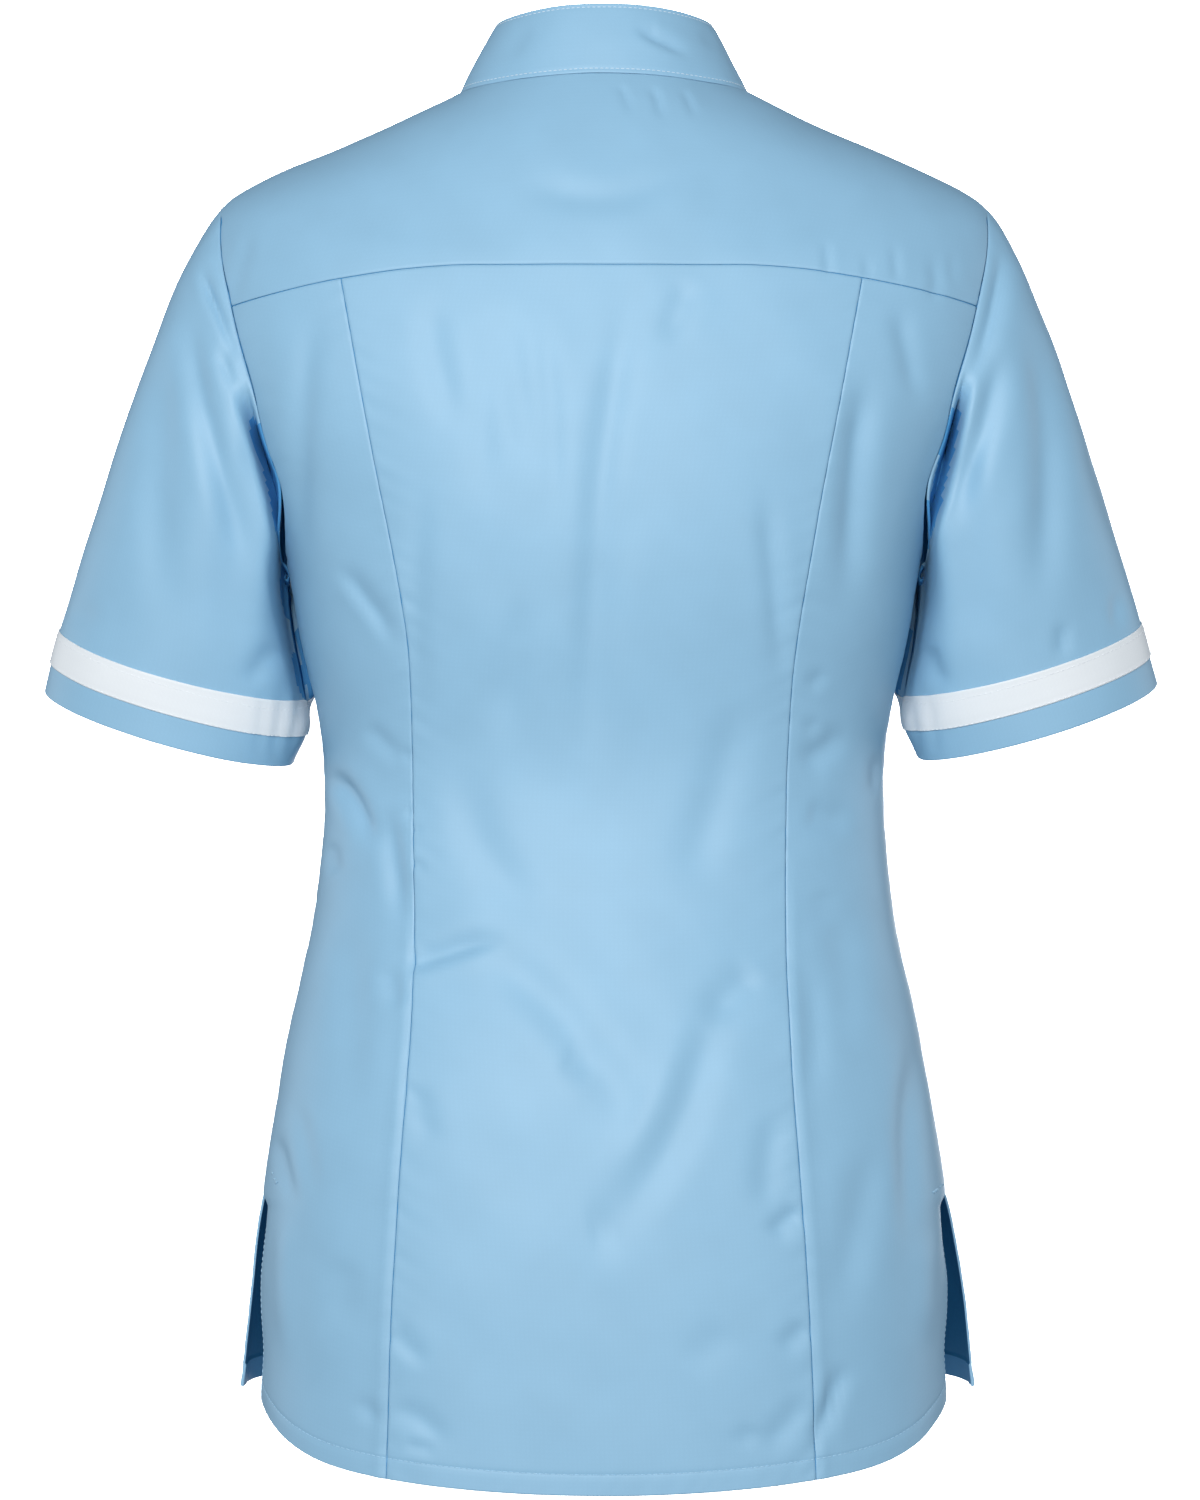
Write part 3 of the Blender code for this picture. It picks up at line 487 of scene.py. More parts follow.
YOKE_CORNER = yoke_corner_level()


def back_outer_levels():
    """Levels of the back panels' rows at their outer edges, from the hem to the yoke seam."""
    hem = float(level_on(math.pi / 2 - JUST_BEHIND_SIDE, back_hem_height))
    return spread_rows((hem, VENT_TOP, 15), (VENT_TOP, UNDERARM, 36), (UNDERARM, YOKE_CORNER, 21))


def back_edge(edge, outer, level):
    """Angles along one edge of a back panel: its outer edge, or the seam to its neighbour."""
    kind, side = edge
    if kind == "outer":
        return side * outer_angle(outer, True)
    return panel_seam_angle(level, side)


def back_grid(first, last, columns):
    """Angles and levels of a back panel between two edges."""
    outer = back_outer_levels()[:, None]
    rows = (outer - outer[0]) / (outer[-1] - outer[0])
    share = np.linspace(0, 1, columns + 1)[None, :]
    level = np.repeat(outer, columns + 1, axis=1)
    for _ in range(GRID_PASSES):
        start = back_edge(first, outer, level[:, :1])
        end = back_edge(last, outer, level[:, -1:])
        angle = start + (end - start) * share
        hem = level_on(angle, back_hem_height)
        yoke = level_on(angle, yoke_seam_height)
        level = hem + (yoke - hem) * rows
    return angle, level


def yoke_grid(foot_angles):
    """Angles and levels of the yoke, above the back panels' top row, up to the neck seam."""
    tip = (SHOULDER_POINT - YOKE_CORNER) / (NECK_SEAM - YOKE_CORNER)
    rows = spread_rows((0, tip, 9), (tip, 1, 15))
    share = foot_angles / outer_angle(YOKE_CORNER, True)
    edge = outer_angle(YOKE_CORNER + (NECK_SEAM - YOKE_CORNER) * rows, True)
    foot = level_on(foot_angles, yoke_seam_height)
    angle = edge[:, None] * share[None, :]
    level = foot[None, :] + (NECK_SEAM - foot[None, :]) * rows[:, None]
    return angle, level


def front_grid(side):
    """Angles and levels of a front, and how far each point is raised to lap over the other."""
    levels = np.concatenate([
        spread_rows((FRONT_HEM, VENT_TOP, 12)), back_outer_levels()[16:52],
        spread_rows((UNDERARM, SHOULDER_POINT, 30), (SHOULDER_POINT, NECK_SEAM, 15))[1:]])
    stops = (RISE_STARTS, STAND_HALF if side > 0 else RISE_ENDS, 0, -STAND_HALF)
    outer = outer_angle(levels, False, side)
    ends = []
    for x in stops:
        near = angle_at(levels, abs(x), False, side)
        ends.append(near if x >= 0 else 2 * math.pi - near)
    share = np.linspace(0, 1, 10)[None, :]
    wide = outer[:, None] + (ends[0] - outer)[:, None] * share
    angle = np.concatenate([wide] + [end[:, None] for end in ends[1:]], axis=1)
    raised = np.zeros(angle.shape)
    if side < 0:
        raised[:, -3:] = STAND_RISE
        angle, raised = -angle[:, ::-1], raised[:, ::-1]
    level = np.repeat(levels[:, None], angle.shape[1], axis=1)
    return angle, level, raised


# ---------------------------------------------------------------- fine grids

def read_rows(values, at):
    """Read a grid at row positions between its rows, along smooth curves."""
    last = len(values) - 1
    low = np.clip(np.floor(at).astype(int), 0, last - 1)
    part = (at - low).reshape(-1, *([1] * (values.ndim - 1)))
    before = np.where(low.reshape(part.shape) > 0, values[np.maximum(low - 1, 0)],
                      2 * values[low] - values[low + 1])
    after = np.where(low.reshape(part.shape) < last - 1, values[np.minimum(low + 2, last)],
                     2 * values[low + 1] - values[low])
    slope_in, slope_out = (values[low + 1] - before) / 2, (after - values[low]) / 2
    return ((2 * part**3 - 3 * part**2 + 1) * values[low] + (part**3 - 2 * part**2 + part) * slope_in
            + (3 * part**2 - 2 * part**3) * values[low + 1] + (part**3 - part**2) * slope_out)


def along(points, axis):
    """Distance walked along a grid's rows or columns, from its first edge."""
    length = np.linalg.norm(np.diff(points, axis=axis), axis=-1)
    pad = [(0, 0), (0, 0)]
    pad[axis] = (1, 0)
    return np.pad(np.cumsum(length, axis=axis), pad)


EDGE_STEPS = (0.0, 0.0001, 0.0003, 0.0006, 0.0010, 0.0015, 0.0022, 0.0032, 0.0045, 0.0062)


def stops_over(length, marks=(), insets=(0.0, 0.0)):
    """Distances along a length: close together at both ends and round the marks."""
    before, after = insets
    marks = [mark - before for mark in marks]
    length = length - before - after
    inner = np.arange(EDGE_STEPS[-1] + STEP, length - EDGE_STEPS[-1] - STEP / 2, STEP)
    fine = [mark + shift for mark in marks for shift in (-0.0012, -0.0006, -0.0002, 0.0002, 0.0006, 0.0012)]
    inner = inner[[all(abs(x - mark) > 0.0024 for mark in marks) for x in inner]]
    start = [x for x in EDGE_STEPS if all(abs(x - y) > 0.0003 for y in fine)]
    return before + np.unique(np.concatenate([start, fine, inner, length - np.array(EDGE_STEPS)]))


def refine(grids, points, row_marks=(), column_marks=(), row_insets=(0, 0), column_insets=(0, 0)):
    """Resample grids of values so that their points lie close together where the cloth turns."""
    down = along(points, 0)[:, points.shape[1] // 2]
    rows = np.interp(stops_over(down[-1], row_marks, row_insets), down, np.arange(len(down)))
    across = along(points, 1)[points.shape[0] // 2]
    columns = np.interp(stops_over(across[-1], column_marks, column_insets), across, np.arange(len(across)))
    return [read_rows(read_rows(grid, rows).swapaxes(0, 1), columns).swapaxes(0, 1) for grid in grids]


# ---------------------------------------------------------------- relief of the cloth

def seen(across, down, depth):
    """Where a point of the view lies across and up the shirt, on cloth this far from its middle."""
    scale = VIEW_SCALE * (VIEW_DISTANCE - depth) / VIEW_DISTANCE
    return (VIEW_MIDDLE[0] - across) * scale, VIEW_HEIGHT + (VIEW_MIDDLE[1] - down) * scale


def path_points(knots, count):
    """Points along a smooth curve through a few knots."""
    knots = np.array(knots, dtype=float)
    return read_rows(knots, np.linspace(0, len(knots) - 1, count))


def fold_depth(x, z, path, depth, width, lean):
    """Depth of one fold: a soft trough along its path, with low ridges beside it and faded ends."""
    result = np.zeros_like(x)
    low, high = path.min(axis=0) - 4 * width, path.max(axis=0) + 4 * width
    near = (x > low[0]) & (x < high[0]) & (z > low[1]) & (z < high[1])
    if not near.any():
        return result
    spot = np.stack([x[near], z[near]], axis=-1)[:, None, :]
    run = np.diff(path, axis=0)
    length = np.linalg.norm(run, axis=-1)
    walked = np.concatenate([[0], np.cumsum(length)])
    from_start = spot - path[None, :-1]
    part = np.clip(np.sum(from_start * run, axis=-1) / length**2, 0, 1)
    off = from_start - part[..., None] * run
    distance = np.linalg.norm(off, axis=-1)
    best = np.argmin(distance, axis=1)
    pick = np.arange(len(best))
    side = np.sign(off[pick, best, 0] * run[best, 1] - off[pick, best, 1] * run[best, 0])
    place = (walked[best] + part[pick, best] * length[best]) / walked[-1]
    fade = smooth(place, 0, 0.3) * smooth(1 - place, 0, 0.4)
    scaled = distance[pick, best] / (width * (1 + lean * side))
    shape = np.exp(-scaled**2) - 0.32 * np.exp(-(scaled / 2.1)**2)
    result[near] = depth * shape * fade
    return result


def folds_on(x, z, table, depth=None, gain=FOLD_GAIN):
    """Depth of all the folds of a table; their lines are in the view if a depth is given."""
    total = np.zeros_like(x)
    for fold_mm, width_mm, lean, *knots in table:
        if depth is None:
            knots = [(0.001 * a, 0.001 * b) for a, b in knots]
        else:
            knots = [seen(a, b, depth) for a, b in knots]
        path = path_points(knots, 4 * len(knots) + 1)
        total += fold_depth(x, z, path, gain * 0.001 * fold_mm, 0.001 * width_mm, lean)
    return total


def ripple(seed, *where, waves=9, shortest=0.02, longest=0.09):
    """A gentle irregular wave, from -1 to 1, over one, two or three lengths."""
    draw = np.random.default_rng(seed)
    total = 0
    for _ in range(waves):
        size = shortest * (longest / shortest)**draw.random()
        heading = unit(draw.normal(size=len(where)))
        phase = draw.random() * 2 * math.pi
        total = total + np.sin(2 * math.pi * sum(h * w for h, w in zip(heading, where)) / size + phase)
    return total / math.sqrt(waves) / 1.4


def add_mesh(name, points, faces, uv=None):
    """A smooth mesh object from arrays, with an optional flat coordinate for each point."""
    data = bpy.data.meshes.new(name)
    data.from_pydata(points.tolist(), [], faces)
    if uv is not None:
        corners = np.empty(len(data.loops), dtype=np.int32)
        data.loops.foreach_get("vertex_index", corners)
        data.uv_layers.new(name="cut").data.foreach_set("uv", uv[corners].astype(np.float32).ravel())
    data.shade_smooth()
    thing = bpy.data.objects.new(name, data)
    bpy.context.collection.objects.link(thing)
    return thing


def grid_faces(rows, columns, start=0, closed=False, flip=False):
    """Faces of a grid of points, counter-clockwise when rows run up and columns run round."""
    faces = []
    for i in range(rows - 1):
        for j in range(columns if closed else columns - 1):
            k = (j + 1) % columns
            face = [start + i * columns + j, start + i * columns + k,
                    start + (i + 1) * columns + k, start + (i + 1) * columns + j]
            faces.append([face[0], face[3], face[2], face[1]] if flip else face)
    return faces


def shell(outer, inner, start=0, closed=False, flip=False):
    """Points and faces of a closed thin shell between two grids."""
    rows, columns = outer.shape[:2]
    size = rows * columns
    faces = grid_faces(rows, columns, start, closed, flip)
    faces += grid_faces(rows, columns, start + size, closed, not flip)
    top = [(rows - 1) * columns + j for j in range(columns)]
    foot = list(range(columns))
    if closed:
        loops = [(foot + foot[:1], True), (top + top[:1], False)]
    else:
        left = [i * columns for i in range(rows)]
        right = [i * columns + columns - 1 for i in range(rows)]
        loops = [(foot, True), (top, False), (left, False), (right, True)]
    for line, turned in loops:
        for a, b in zip(line, line[1:]):
            face = [start + a, start + b, start + size + b, start + size + a]
            faces.append(face[::-1] if turned != flip else face)
    return np.concatenate([outer.reshape(-1, 3), inner.reshape(-1, 3)]), faces


def inner_faces(rows, columns, total):
    """Which of a shell's faces are on its inner side, as material numbers; inner faces take the darker
    painted-shade inside look.
    """
    size = rows * columns
    return [0] * size + [1] * size + [0] * (total - 2 * size)


# ---------------------------------------------------------------- materials

def shader_of(name, colour, roughness):
    material = bpy.data.materials.new(name)
    material.use_nodes = True
    shader = material.node_tree.nodes["Principled BSDF"]
    shader.inputs["Base Color"].default_value = (*colour, 1)
    shader.inputs["Roughness"].default_value = roughness
    return material, shader


def woven(name, colour, pitch, weave, blotch, roughness=0.54, gloss=0.62):
    """Plain woven cloth: fine warp and weft over the cut's own coordinates, with soft unevenness."""
    material, shader = shader_of(name, colour, roughness)
    shader.inputs["Specular IOR Level"].default_value = gloss
    tree = material.node_tree

    def node(kind, values=(), links=(), operation=None):
        """A new node, with its input values and what is linked to its inputs."""
        made = tree.nodes.new(f"ShaderNode{kind}")
        if operation:
            made.operation = operation
        for key, value in dict(values).items():
            made.inputs[key].default_value = value
        for key, output in dict(links).items():
            tree.links.new(output, made.inputs[key])
        return made

    place = node("UVMap")
    place.uv_map = "cut"
    wavy = {"Scale": 1 / (pitch * 20), "Distortion": 0.6, "Detail": 1.0, "Detail Scale": 0.4}
    threads = []
    for axis in ("X", "Y"):
        wave = node("TexWave", wavy, {"Vector": place.outputs["UV"]})
        wave.bands_direction = axis
        threads.append(wave.outputs["Fac"])
    cross = node("Math", links=enumerate(threads), operation="MULTIPLY").outputs["Value"]
    where = node("TexCoord").outputs["Object"]
    cloud = node("TexNoise", {"Scale": 38, "Detail": 4}, {"Vector": where}).outputs["Fac"]
    shade = node("MapRange", {"To Min": 1 - blotch, "To Max": 1 + blotch, "From Min": 0.3, "From Max": 0.7},
                 {"Value": cloud}).outputs["Result"]
    fine = node("MapRange", {"To Min": 1 - weave, "To Max": 1 + weave}, {"Value": cross}).outputs["Result"]
    both = node("Math", links={0: shade, 1: fine}, operation="MULTIPLY").outputs["Value"]
    tint = node("VectorMath", {0: colour}, {"Scale": both}, "SCALE").outputs["Vector"]
    raised = node("Bump", {"Strength": 0.25, "Distance": 0.000015}, {"Height": cross}).outputs["Normal"]
    tree.links.new(tint, shader.inputs["Base Color"])
    tree.links.new(raised, shader.inputs["Normal"])
    return material


BLUE = (0.292, 0.522, 0.705)
PITCH = 0.00036
CLOTH_LOOK = woven("blue_cloth", BLUE, PITCH, 0.008, 0.02)
# painted shade: the cloth's inner faces are a darker, deeper blue with little gloss, standing in for the
# shade inside the shirt
PAINTED_SHADE_INSIDE_LOOK = woven("blue_cloth_inside_painted_shade", (0.026, 0.20, 0.42), PITCH, 0.01, 0.02, gloss=0.15)
# painted shade: a darker blue with little gloss for seam turnings, the hem band's inside and the faces deep
# in the sleeves' tucks, standing in for the shade in seam gaps and under the arms
PAINTED_SHADE_TURNED_LOOK = woven("blue_cloth_turned_painted_shade", (0.09, 0.34, 0.64), PITCH, 0.01, 0.02, gloss=0.15)
TAPE_LOOK = woven("white_tape", (0.87, 0.89, 0.90), 0.0004, 0.006, 0.01)
THREAD_LOOK = shader_of("blue_thread", (0.48, 0.72, 0.88), 0.6)[0]
WHITE_THREAD_LOOK = shader_of("white_thread", (0.88, 0.90, 0.92), 0.6)[0]
BUTTON_LOOK = shader_of("button", (0.24, 0.50, 0.72), 0.28)[0]


def finish_piece(thing, look, slot, *nodes, inside=None):
    """Give a piece its materials, and say what it rides on and stands for."""
    thing.data.materials.clear()
    thing.data.materials.append(look)
    # painted shade: inner, turned and shaded faces take the two darker looks
    if inside:
        thing.data.materials.append(PAINTED_SHADE_INSIDE_LOOK)
        thing.data.materials.append(PAINTED_SHADE_TURNED_LOOK)
        thing.data.polygons.foreach_set("material_index", inside)
    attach(thing, "root")
    if nodes:
        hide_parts(*nodes)


# ---------------------------------------------------------------- the sewn pieces


def edge_profile(distance, kind):
    """How far the outer face turns down at an edge: rolled under at a seam, rounded at a fold."""
    if kind == "seam":
        return SEAM_DIP * np.exp(-(distance / SEAM_DIP_WIDTH)**1.5)
    part = np.clip(1 - distance / FOLD_ROUND, 0, 1)
    return FOLD_ROUND * (1 - np.sqrt(1 - part**2))


class Panel:
    """A body panel as fine grids: its base points, normals, and the distance from each edge."""

    def __init__(self, name, angle, level, raised=None, flared=False, seams=(),
                 row_marks=(), column_marks=()):
        raised = np.zeros(angle.shape) if raised is None else raised
        coarse = body(angle, level, flared)
        self.name, self.flared = name, flared
        inset = [SEAM_INSET if edge in seams else 0.0
                 for edge in ("first_row", "last_row", "first_column", "last_column")]
        self.angle, self.level, self.raised = refine(
            [angle, level, raised], coarse, row_marks, column_marks, inset[:2], inset[2:])
        self.base = body(self.angle, self.level, flared)
        self.normal = body_normal(self.angle, self.level, flared)
        up, over = along(self.base, 0), along(self.base, 1)
        self.away = {"first_row": up, "last_row": up[-1:] - up,
                     "first_column": over, "last_column": over[:, -1:] - over}
        self.uv = np.stack([over, up], axis=-1)

    def lay(self, seams, hems, vents, ridged, at_neck):
        """Offsets of the faces: turned at seams, doubled at hems and vents, then folded."""
        self.hemmed = bool(hems)
        x, z = self.base[..., 0], self.base[..., 2]
        lift = np.full(x.shape, CLOTH_LIFT + CLOTH) + self.raised
        under = np.full(x.shape, CLOTH_LIFT) + self.raised
        open_side = smooth(VENT_TOP - self.level, -0.0005, 0.0015)
        for edge in seams:
            share = NECK_DIP_SHARE if edge in at_neck else 1
            lift = lift - edge_profile(self.away[edge], "seam") * share
        for edge in vents:
            distance = self.away[edge]
            lift = lift - (1 - open_side) * edge_profile(distance, "seam")
            lift = lift - open_side * edge_profile(distance, "fold")
            lift = lift - open_side * 0.0003 * bell(distance, VENT_TURN, 0.001)
            under = under - open_side * CLOTH * (1 - smooth(distance, VENT_TURN, VENT_TURN + 0.0004))
        for edge in hems:
            distance = self.away[edge]
            lift = lift - edge_profile(distance, "fold")
            lift = lift - 0.00025 * bell(distance, HEM_WIDTH, 0.0009)
            under = under - CLOTH * (1 - smooth(distance, HEM_WIDTH + 0.0008, HEM_WIDTH + 0.0012))
            rope = ripple(31, self.uv[..., 0] + 0.6 * distance, waves=7, shortest=0.006, longest=0.016)
            lift = lift + 0.00016 * rope * bell(distance, 0.006, 0.006)
        at_back = smooth(np.cos(self.angle), 0.0, 0.22)
        at_front = smooth(-np.cos(self.angle), 0.0, 0.22)
        sink = np.zeros(x.shape)
        if at_back.any():
            sink += at_back * folds_on(x, z, BACK_FOLDS, BACK_DEPTH)
        if at_front.any():
            sink += at_front * folds_on(x, z, FRONT_FOLDS, gain=FRONT_GAIN)
        sink += 0.00035 * ripple(7, x, self.base[..., 1], z, waves=12, shortest=0.03, longest=0.11)
        for edge in ridged:
            strength = 1 - smooth(z, *RIDGE_FADES)
            sink -= 0.0007 * strength * bell(self.away[edge], 0.0042, 0.0028)
        for edge in (*seams, *vents):
            if edge in ("first_column", "last_column"):
                distance = self.away[edge]
                wave = ripple(11 if edge == "first_column" else 12, self.uv[..., 1] + 0.5 * distance,
                              waves=8, shortest=0.009, longest=0.03)
                sink += 0.00028 * wave * np.exp(-distance / 0.009) * (1 - np.exp(-distance / 0.0012))
        for edge in vents:
            if not self.flared:
                low = VENT_TOP - self.level
                below = smooth(low, 0.0, 0.006) * (1 - smooth(low, 0.012, 0.045))
                wave = 0.0009 * ripple(61, self.level, waves=4, shortest=0.03, longest=0.07) * open_side
                near = bell(self.away[edge], 0, 0.034)
                self.base[..., 0] -= np.sign(x) * (0.0040 * below + wave) * near
        self.middle = self.base - self.normal * sink[..., None]
        self.normal = grid_normal(self.middle, self.normal)
        self.outer = self.middle + self.normal * lift[..., None]
        self.inner = self.middle + self.normal * np.minimum(under, lift - THINNEST)[..., None]

    def turning(self, edge, vents):
        """The seam's turnings, laid flat under this panel and reaching just under its neighbour."""
        distance = self.away[edge]
        row_wise = edge.endswith("row")
        grid = {"base": self.middle, "normal": self.normal, "uv": self.uv, "far": distance}
        if row_wise:
            grid = {key: value.swapaxes(0, 1) for key, value in grid.items()}
        if edge.startswith("last"):
            grid = {key: value[:, ::-1] for key, value in grid.items()}
        if edge in vents:
            grid = {key: value[self.level[:, 0] > VENT_TOP + 0.001] for key, value in grid.items()}
        keep = max(3, int(np.searchsorted(np.median(grid["far"], axis=0), TURNING)))
        base, normal = grid["base"][:, :keep], grid["normal"][:, :keep]
        inward = unit(base[:, 3] - base[:, 0])
        past = base[:, 0] - inward * TURNING_PAST
        base = np.concatenate([past[:, None], base], axis=1)
        normal = np.concatenate([normal[:, :1], normal], axis=1)
        top, foot = base, base - normal * CLOTH
        uv = np.concatenate([grid["uv"][:, :1], grid["uv"][:, :keep]], axis=1)
        return top, foot, uv, row_wise != edge.startswith("last")

    def build(self, turnings, vents):
        """The panel's mesh: its shell, and the turnings of its seams."""
        points, faces = shell(self.outer, self.inner)
        uv = [self.uv.reshape(-1, 2)] * 2
        rows, columns = self.outer.shape[0] - 1, self.outer.shape[1] - 1
        size = rows * columns
        # painted shade: inner faces take the darker inside look, those of the hem band and the turnings the
        # darker turned look
        inside = inner_faces(rows, columns, len(faces))
        hem_rows = self.away["first_row"][:-1, :-1].ravel() < HEM_WIDTH
        inside[size:2 * size] = np.where(hem_rows & self.hemmed, 2, 1).tolist()
        for edge in turnings:
            top, foot, flat, flip = self.turning(edge, vents)
            more, more_faces = shell(top, foot, start=len(points), flip=flip)
            points = np.concatenate([points, more])
            faces += more_faces
            uv += [flat.reshape(-1, 2)] * 2
        inside += [2] * (len(faces) - len(inside))
        thing = add_mesh(f"{self.name}_cloth", points, faces, np.concatenate(uv))
        finish_piece(thing, CLOTH_LOOK, "blue_cloth", self.name, inside=inside)

    def line(self, edge, distance, keep=None):
        """Points and normals of the outer face at a distance from an edge."""
        away, outer = self.away[edge], self.outer
        normal = grid_normal(self.outer, self.normal)
        if edge.endswith("row"):
            away, outer, normal = away.T, outer.swapaxes(0, 1), normal.swapaxes(0, 1)
        if edge.startswith("last"):
            away, outer, normal = away[:, ::-1], outer[:, ::-1], normal[:, ::-1]
        points = np.array([read_at(distance, a, o) for a, o in zip(away, outer)])
        normals = np.array([read_at(distance, a, n) for a, n in zip(away, normal)])
        if keep is not None:
            chosen = keep(points)
            points, normals = points[chosen], normals[chosen]
        return points, unit(normals)


def grid_normal(points, like):
    """Normals of a grid of points, on the same side as the given ones."""
    normal = np.cross(np.gradient(points, axis=0), np.gradient(points, axis=1))
    normal *= np.sign(np.sum(normal * like, axis=-1, keepdims=True))
    return unit(normal)


def stitches(name, runs, look, slot, length=0.0021, gap=0.0008, thread=0.00016):
    """Sewn stitches along lines on the cloth: short threads that dip in at both ends."""
    sides, stops, heights = 5, (0.0, 0.22, 0.78, 1.0), (-0.9, 0.75, 0.75, -0.9)
    turn = 2 * math.pi * np.arange(sides) / sides
    all_points, all_faces = [], []
    for points, normals in runs:
        walked = walk(points)
        count = int(walked[-1] / (length + gap))
        starts = (np.arange(count) + 0.5) * walked[-1] / max(count, 1) - length / 2
        for start in starts:
            rings = []
            for stop, height in zip(stops, heights):
                at = start + stop * length
                middle, up = read_at(at, walked, points), unit(read_at(at, walked, normals))
                ahead, behind = (read_at(at + near, walked, points) for near in (0.0004, -0.0004))
                forward = unit(ahead - behind)
                across = np.cross(forward, up)
                centre = middle + up * thread * height
                rings.append(centre + thread * (np.cos(turn)[:, None] * across + np.sin(turn)[:, None] * up))
            first = sum(len(p) for p in all_points)
            all_points.append(np.concatenate(rings))
            all_faces += grid_faces(len(stops), sides, first, closed=True)
            all_faces.append([first + i for i in range(sides)][::-1])
            all_faces.append([first + (len(stops) - 1) * sides + i for i in range(sides)])
    finish_piece(add_mesh(name, np.concatenate(all_points), all_faces), look, slot)


# ---------------------------------------------------------------- body

RIGHT = back_grid(("outer", -1), ("seam", -1), 6)
MIDDLE = back_grid(("seam", -1), ("seam", 1), 12)
LEFT = back_grid(("seam", 1), ("outer", 1), 6)
FOOT = np.concatenate([RIGHT[0][-1], MIDDLE[0][-1][1:], LEFT[0][-1][1:]])

FIRST, LAST, BOTTOM, TOP = "first_column", "last_column", "first_row", "last_row"
PANELS = (
    # piece, its grid, sewn edges, vent edges, edges with turnings under them
    ("back_centre", MIDDLE, (FIRST, LAST, TOP), (), ()),
    ("side_back_right", RIGHT, (LAST, TOP), (FIRST,), (LAST, FIRST)),
    ("side_back_left", LEFT, (FIRST, TOP), (LAST,), (FIRST, LAST)),
    ("yoke_back", yoke_grid(FOOT), (BOTTOM, FIRST, LAST, TOP), (), (BOTTOM, FIRST, LAST, TOP)),
    ("front_left", front_grid(1), (TOP,), (FIRST,), (TOP,)),
    ("front_right", front_grid(-1), (TOP,), (LAST,), (TOP,)),
)
panels = {}
for name, grid, seams, vents, turnings in PANELS:
    is_front, is_yoke, is_side = name.startswith("front"), name == "yoke_back", name.startswith("side")
    panel = Panel(name, *grid, flared=is_front, seams=(*seams, *vents),
                  row_marks=() if is_yoke else (HEM_WIDTH,),
                  column_marks=(VENT_TURN,) if FIRST in vents else ())
    panel.lay(seams, () if is_yoke else (BOTTOM,), vents,
              [edge for edge in seams if is_side and edge != TOP], (TOP,) if is_front or is_yoke else ())
    panel.build(turnings, vents)
    panels[name] = panel


# ---------------------------------------------------------------- sleeves

def join_start(edge, normal, away, leave, thickness):
    """Where a piece starts beside a wall's edge so that the two walls stay a seam gap apart."""
    lean = np.sum(leave * normal, axis=-1, keepdims=True)
    onward = np.sum(leave * away, axis=-1, keepdims=True)
    beside = away * (SEAM_GAP + thickness * np.maximum(lean, 0))
    over = normal * (WALL + thickness + 2 * SEAM_GAP) * np.maximum(FOLD_OVER_BELOW - onward, 0)
    return edge + beside + over


ARMHOLE_SAMPLES = 400
ARMHOLE_BACK = 61
ARMHOLE_FRONT = 71


def armhole_ring(side):
    """Angles and levels round an armhole: shoulder point, down the back, underarm, up the front."""
    falling = np.linspace(SHOULDER_POINT, UNDERARM, ARMHOLE_SAMPLES)
    rising = falling[::-1][1:-1]
    level = np.concatenate([falling, rising])
    angle = np.concatenate([outer_angle(falling, True), outer_angle(rising, False)]) * side
    points = body(angle, level)
    walked = walk(np.vstack([points, points[:1]]))
    under = walked[ARMHOLE_SAMPLES - 1]
    at = np.concatenate([np.linspace(0, under, ARMHOLE_BACK),
                         np.linspace(under, walked[-1], ARMHOLE_FRONT)[1:-1]])
    return [np.interp(at, walked, np.append(values, values[0])) for values in (angle, level)]


def grid_normals(points):
    """Outward normals of a sleeve grid whose columns run round and whose rows run down."""
    round_it = np.roll(points, -1, axis=1) - np.roll(points, 1, axis=1)
    down_it = np.gradient(points, axis=0)
    return unit(np.cross(down_it, round_it))


def sleeve_frame(spread, forward):
    """The sleeve hem's outward and backward directions, and the way the sleeve points."""
    spread, forward = math.radians(spread), math.radians(forward)
    outward = np.array([math.cos(spread), 0, math.sin(spread)])
    backward = np.array([0, math.cos(forward), -math.sin(forward)])
    backward = unit(backward - outward * (backward @ outward))
    return outward, backward, np.cross(backward, outward)


def torso_reach(y, z):
    """How far out the body's side is at this depth and height."""
    half_width, side_y, back_y, front_y, _, _, back_power, front_power, _ = curve_columns(RINGS, z)
    depth = np.where(y >= 0, back_y, -front_y)
    power = np.where(y >= 0, back_power, front_power)
    return half_width * (1 - np.clip(np.abs(y - side_y) / depth, 0, 1)**power)**(1 / power)


SLEEVE_UPPER = np.array([0, 0.0015, 0.004, 0.008, 0.014, 0.022, 0.032, *np.linspace(0.044, 1, 62)])
TAPE_TOP = TAPE_WIDTH + TAPE_ABOVE_HEM
TAPE_ROWS = 13
SLEEVE_LOWER = np.array([
    # distances from the hem: the rows under the tape, then those below it
    TAPE_TOP, TAPE_TOP - 0.0002, TAPE_TOP - 0.0006, TAPE_TOP - 0.0012, 0.0275, 0.0250, 0.0225, 0.0200,
    0.0175, TAPE_ABOVE_HEM + 0.0012, TAPE_ABOVE_HEM + 0.0006, TAPE_ABOVE_HEM + 0.0002, TAPE_ABOVE_HEM,
    0.0143, 0.0125, 0.0105, 0.0085, *EDGE_STEPS[::-1]])


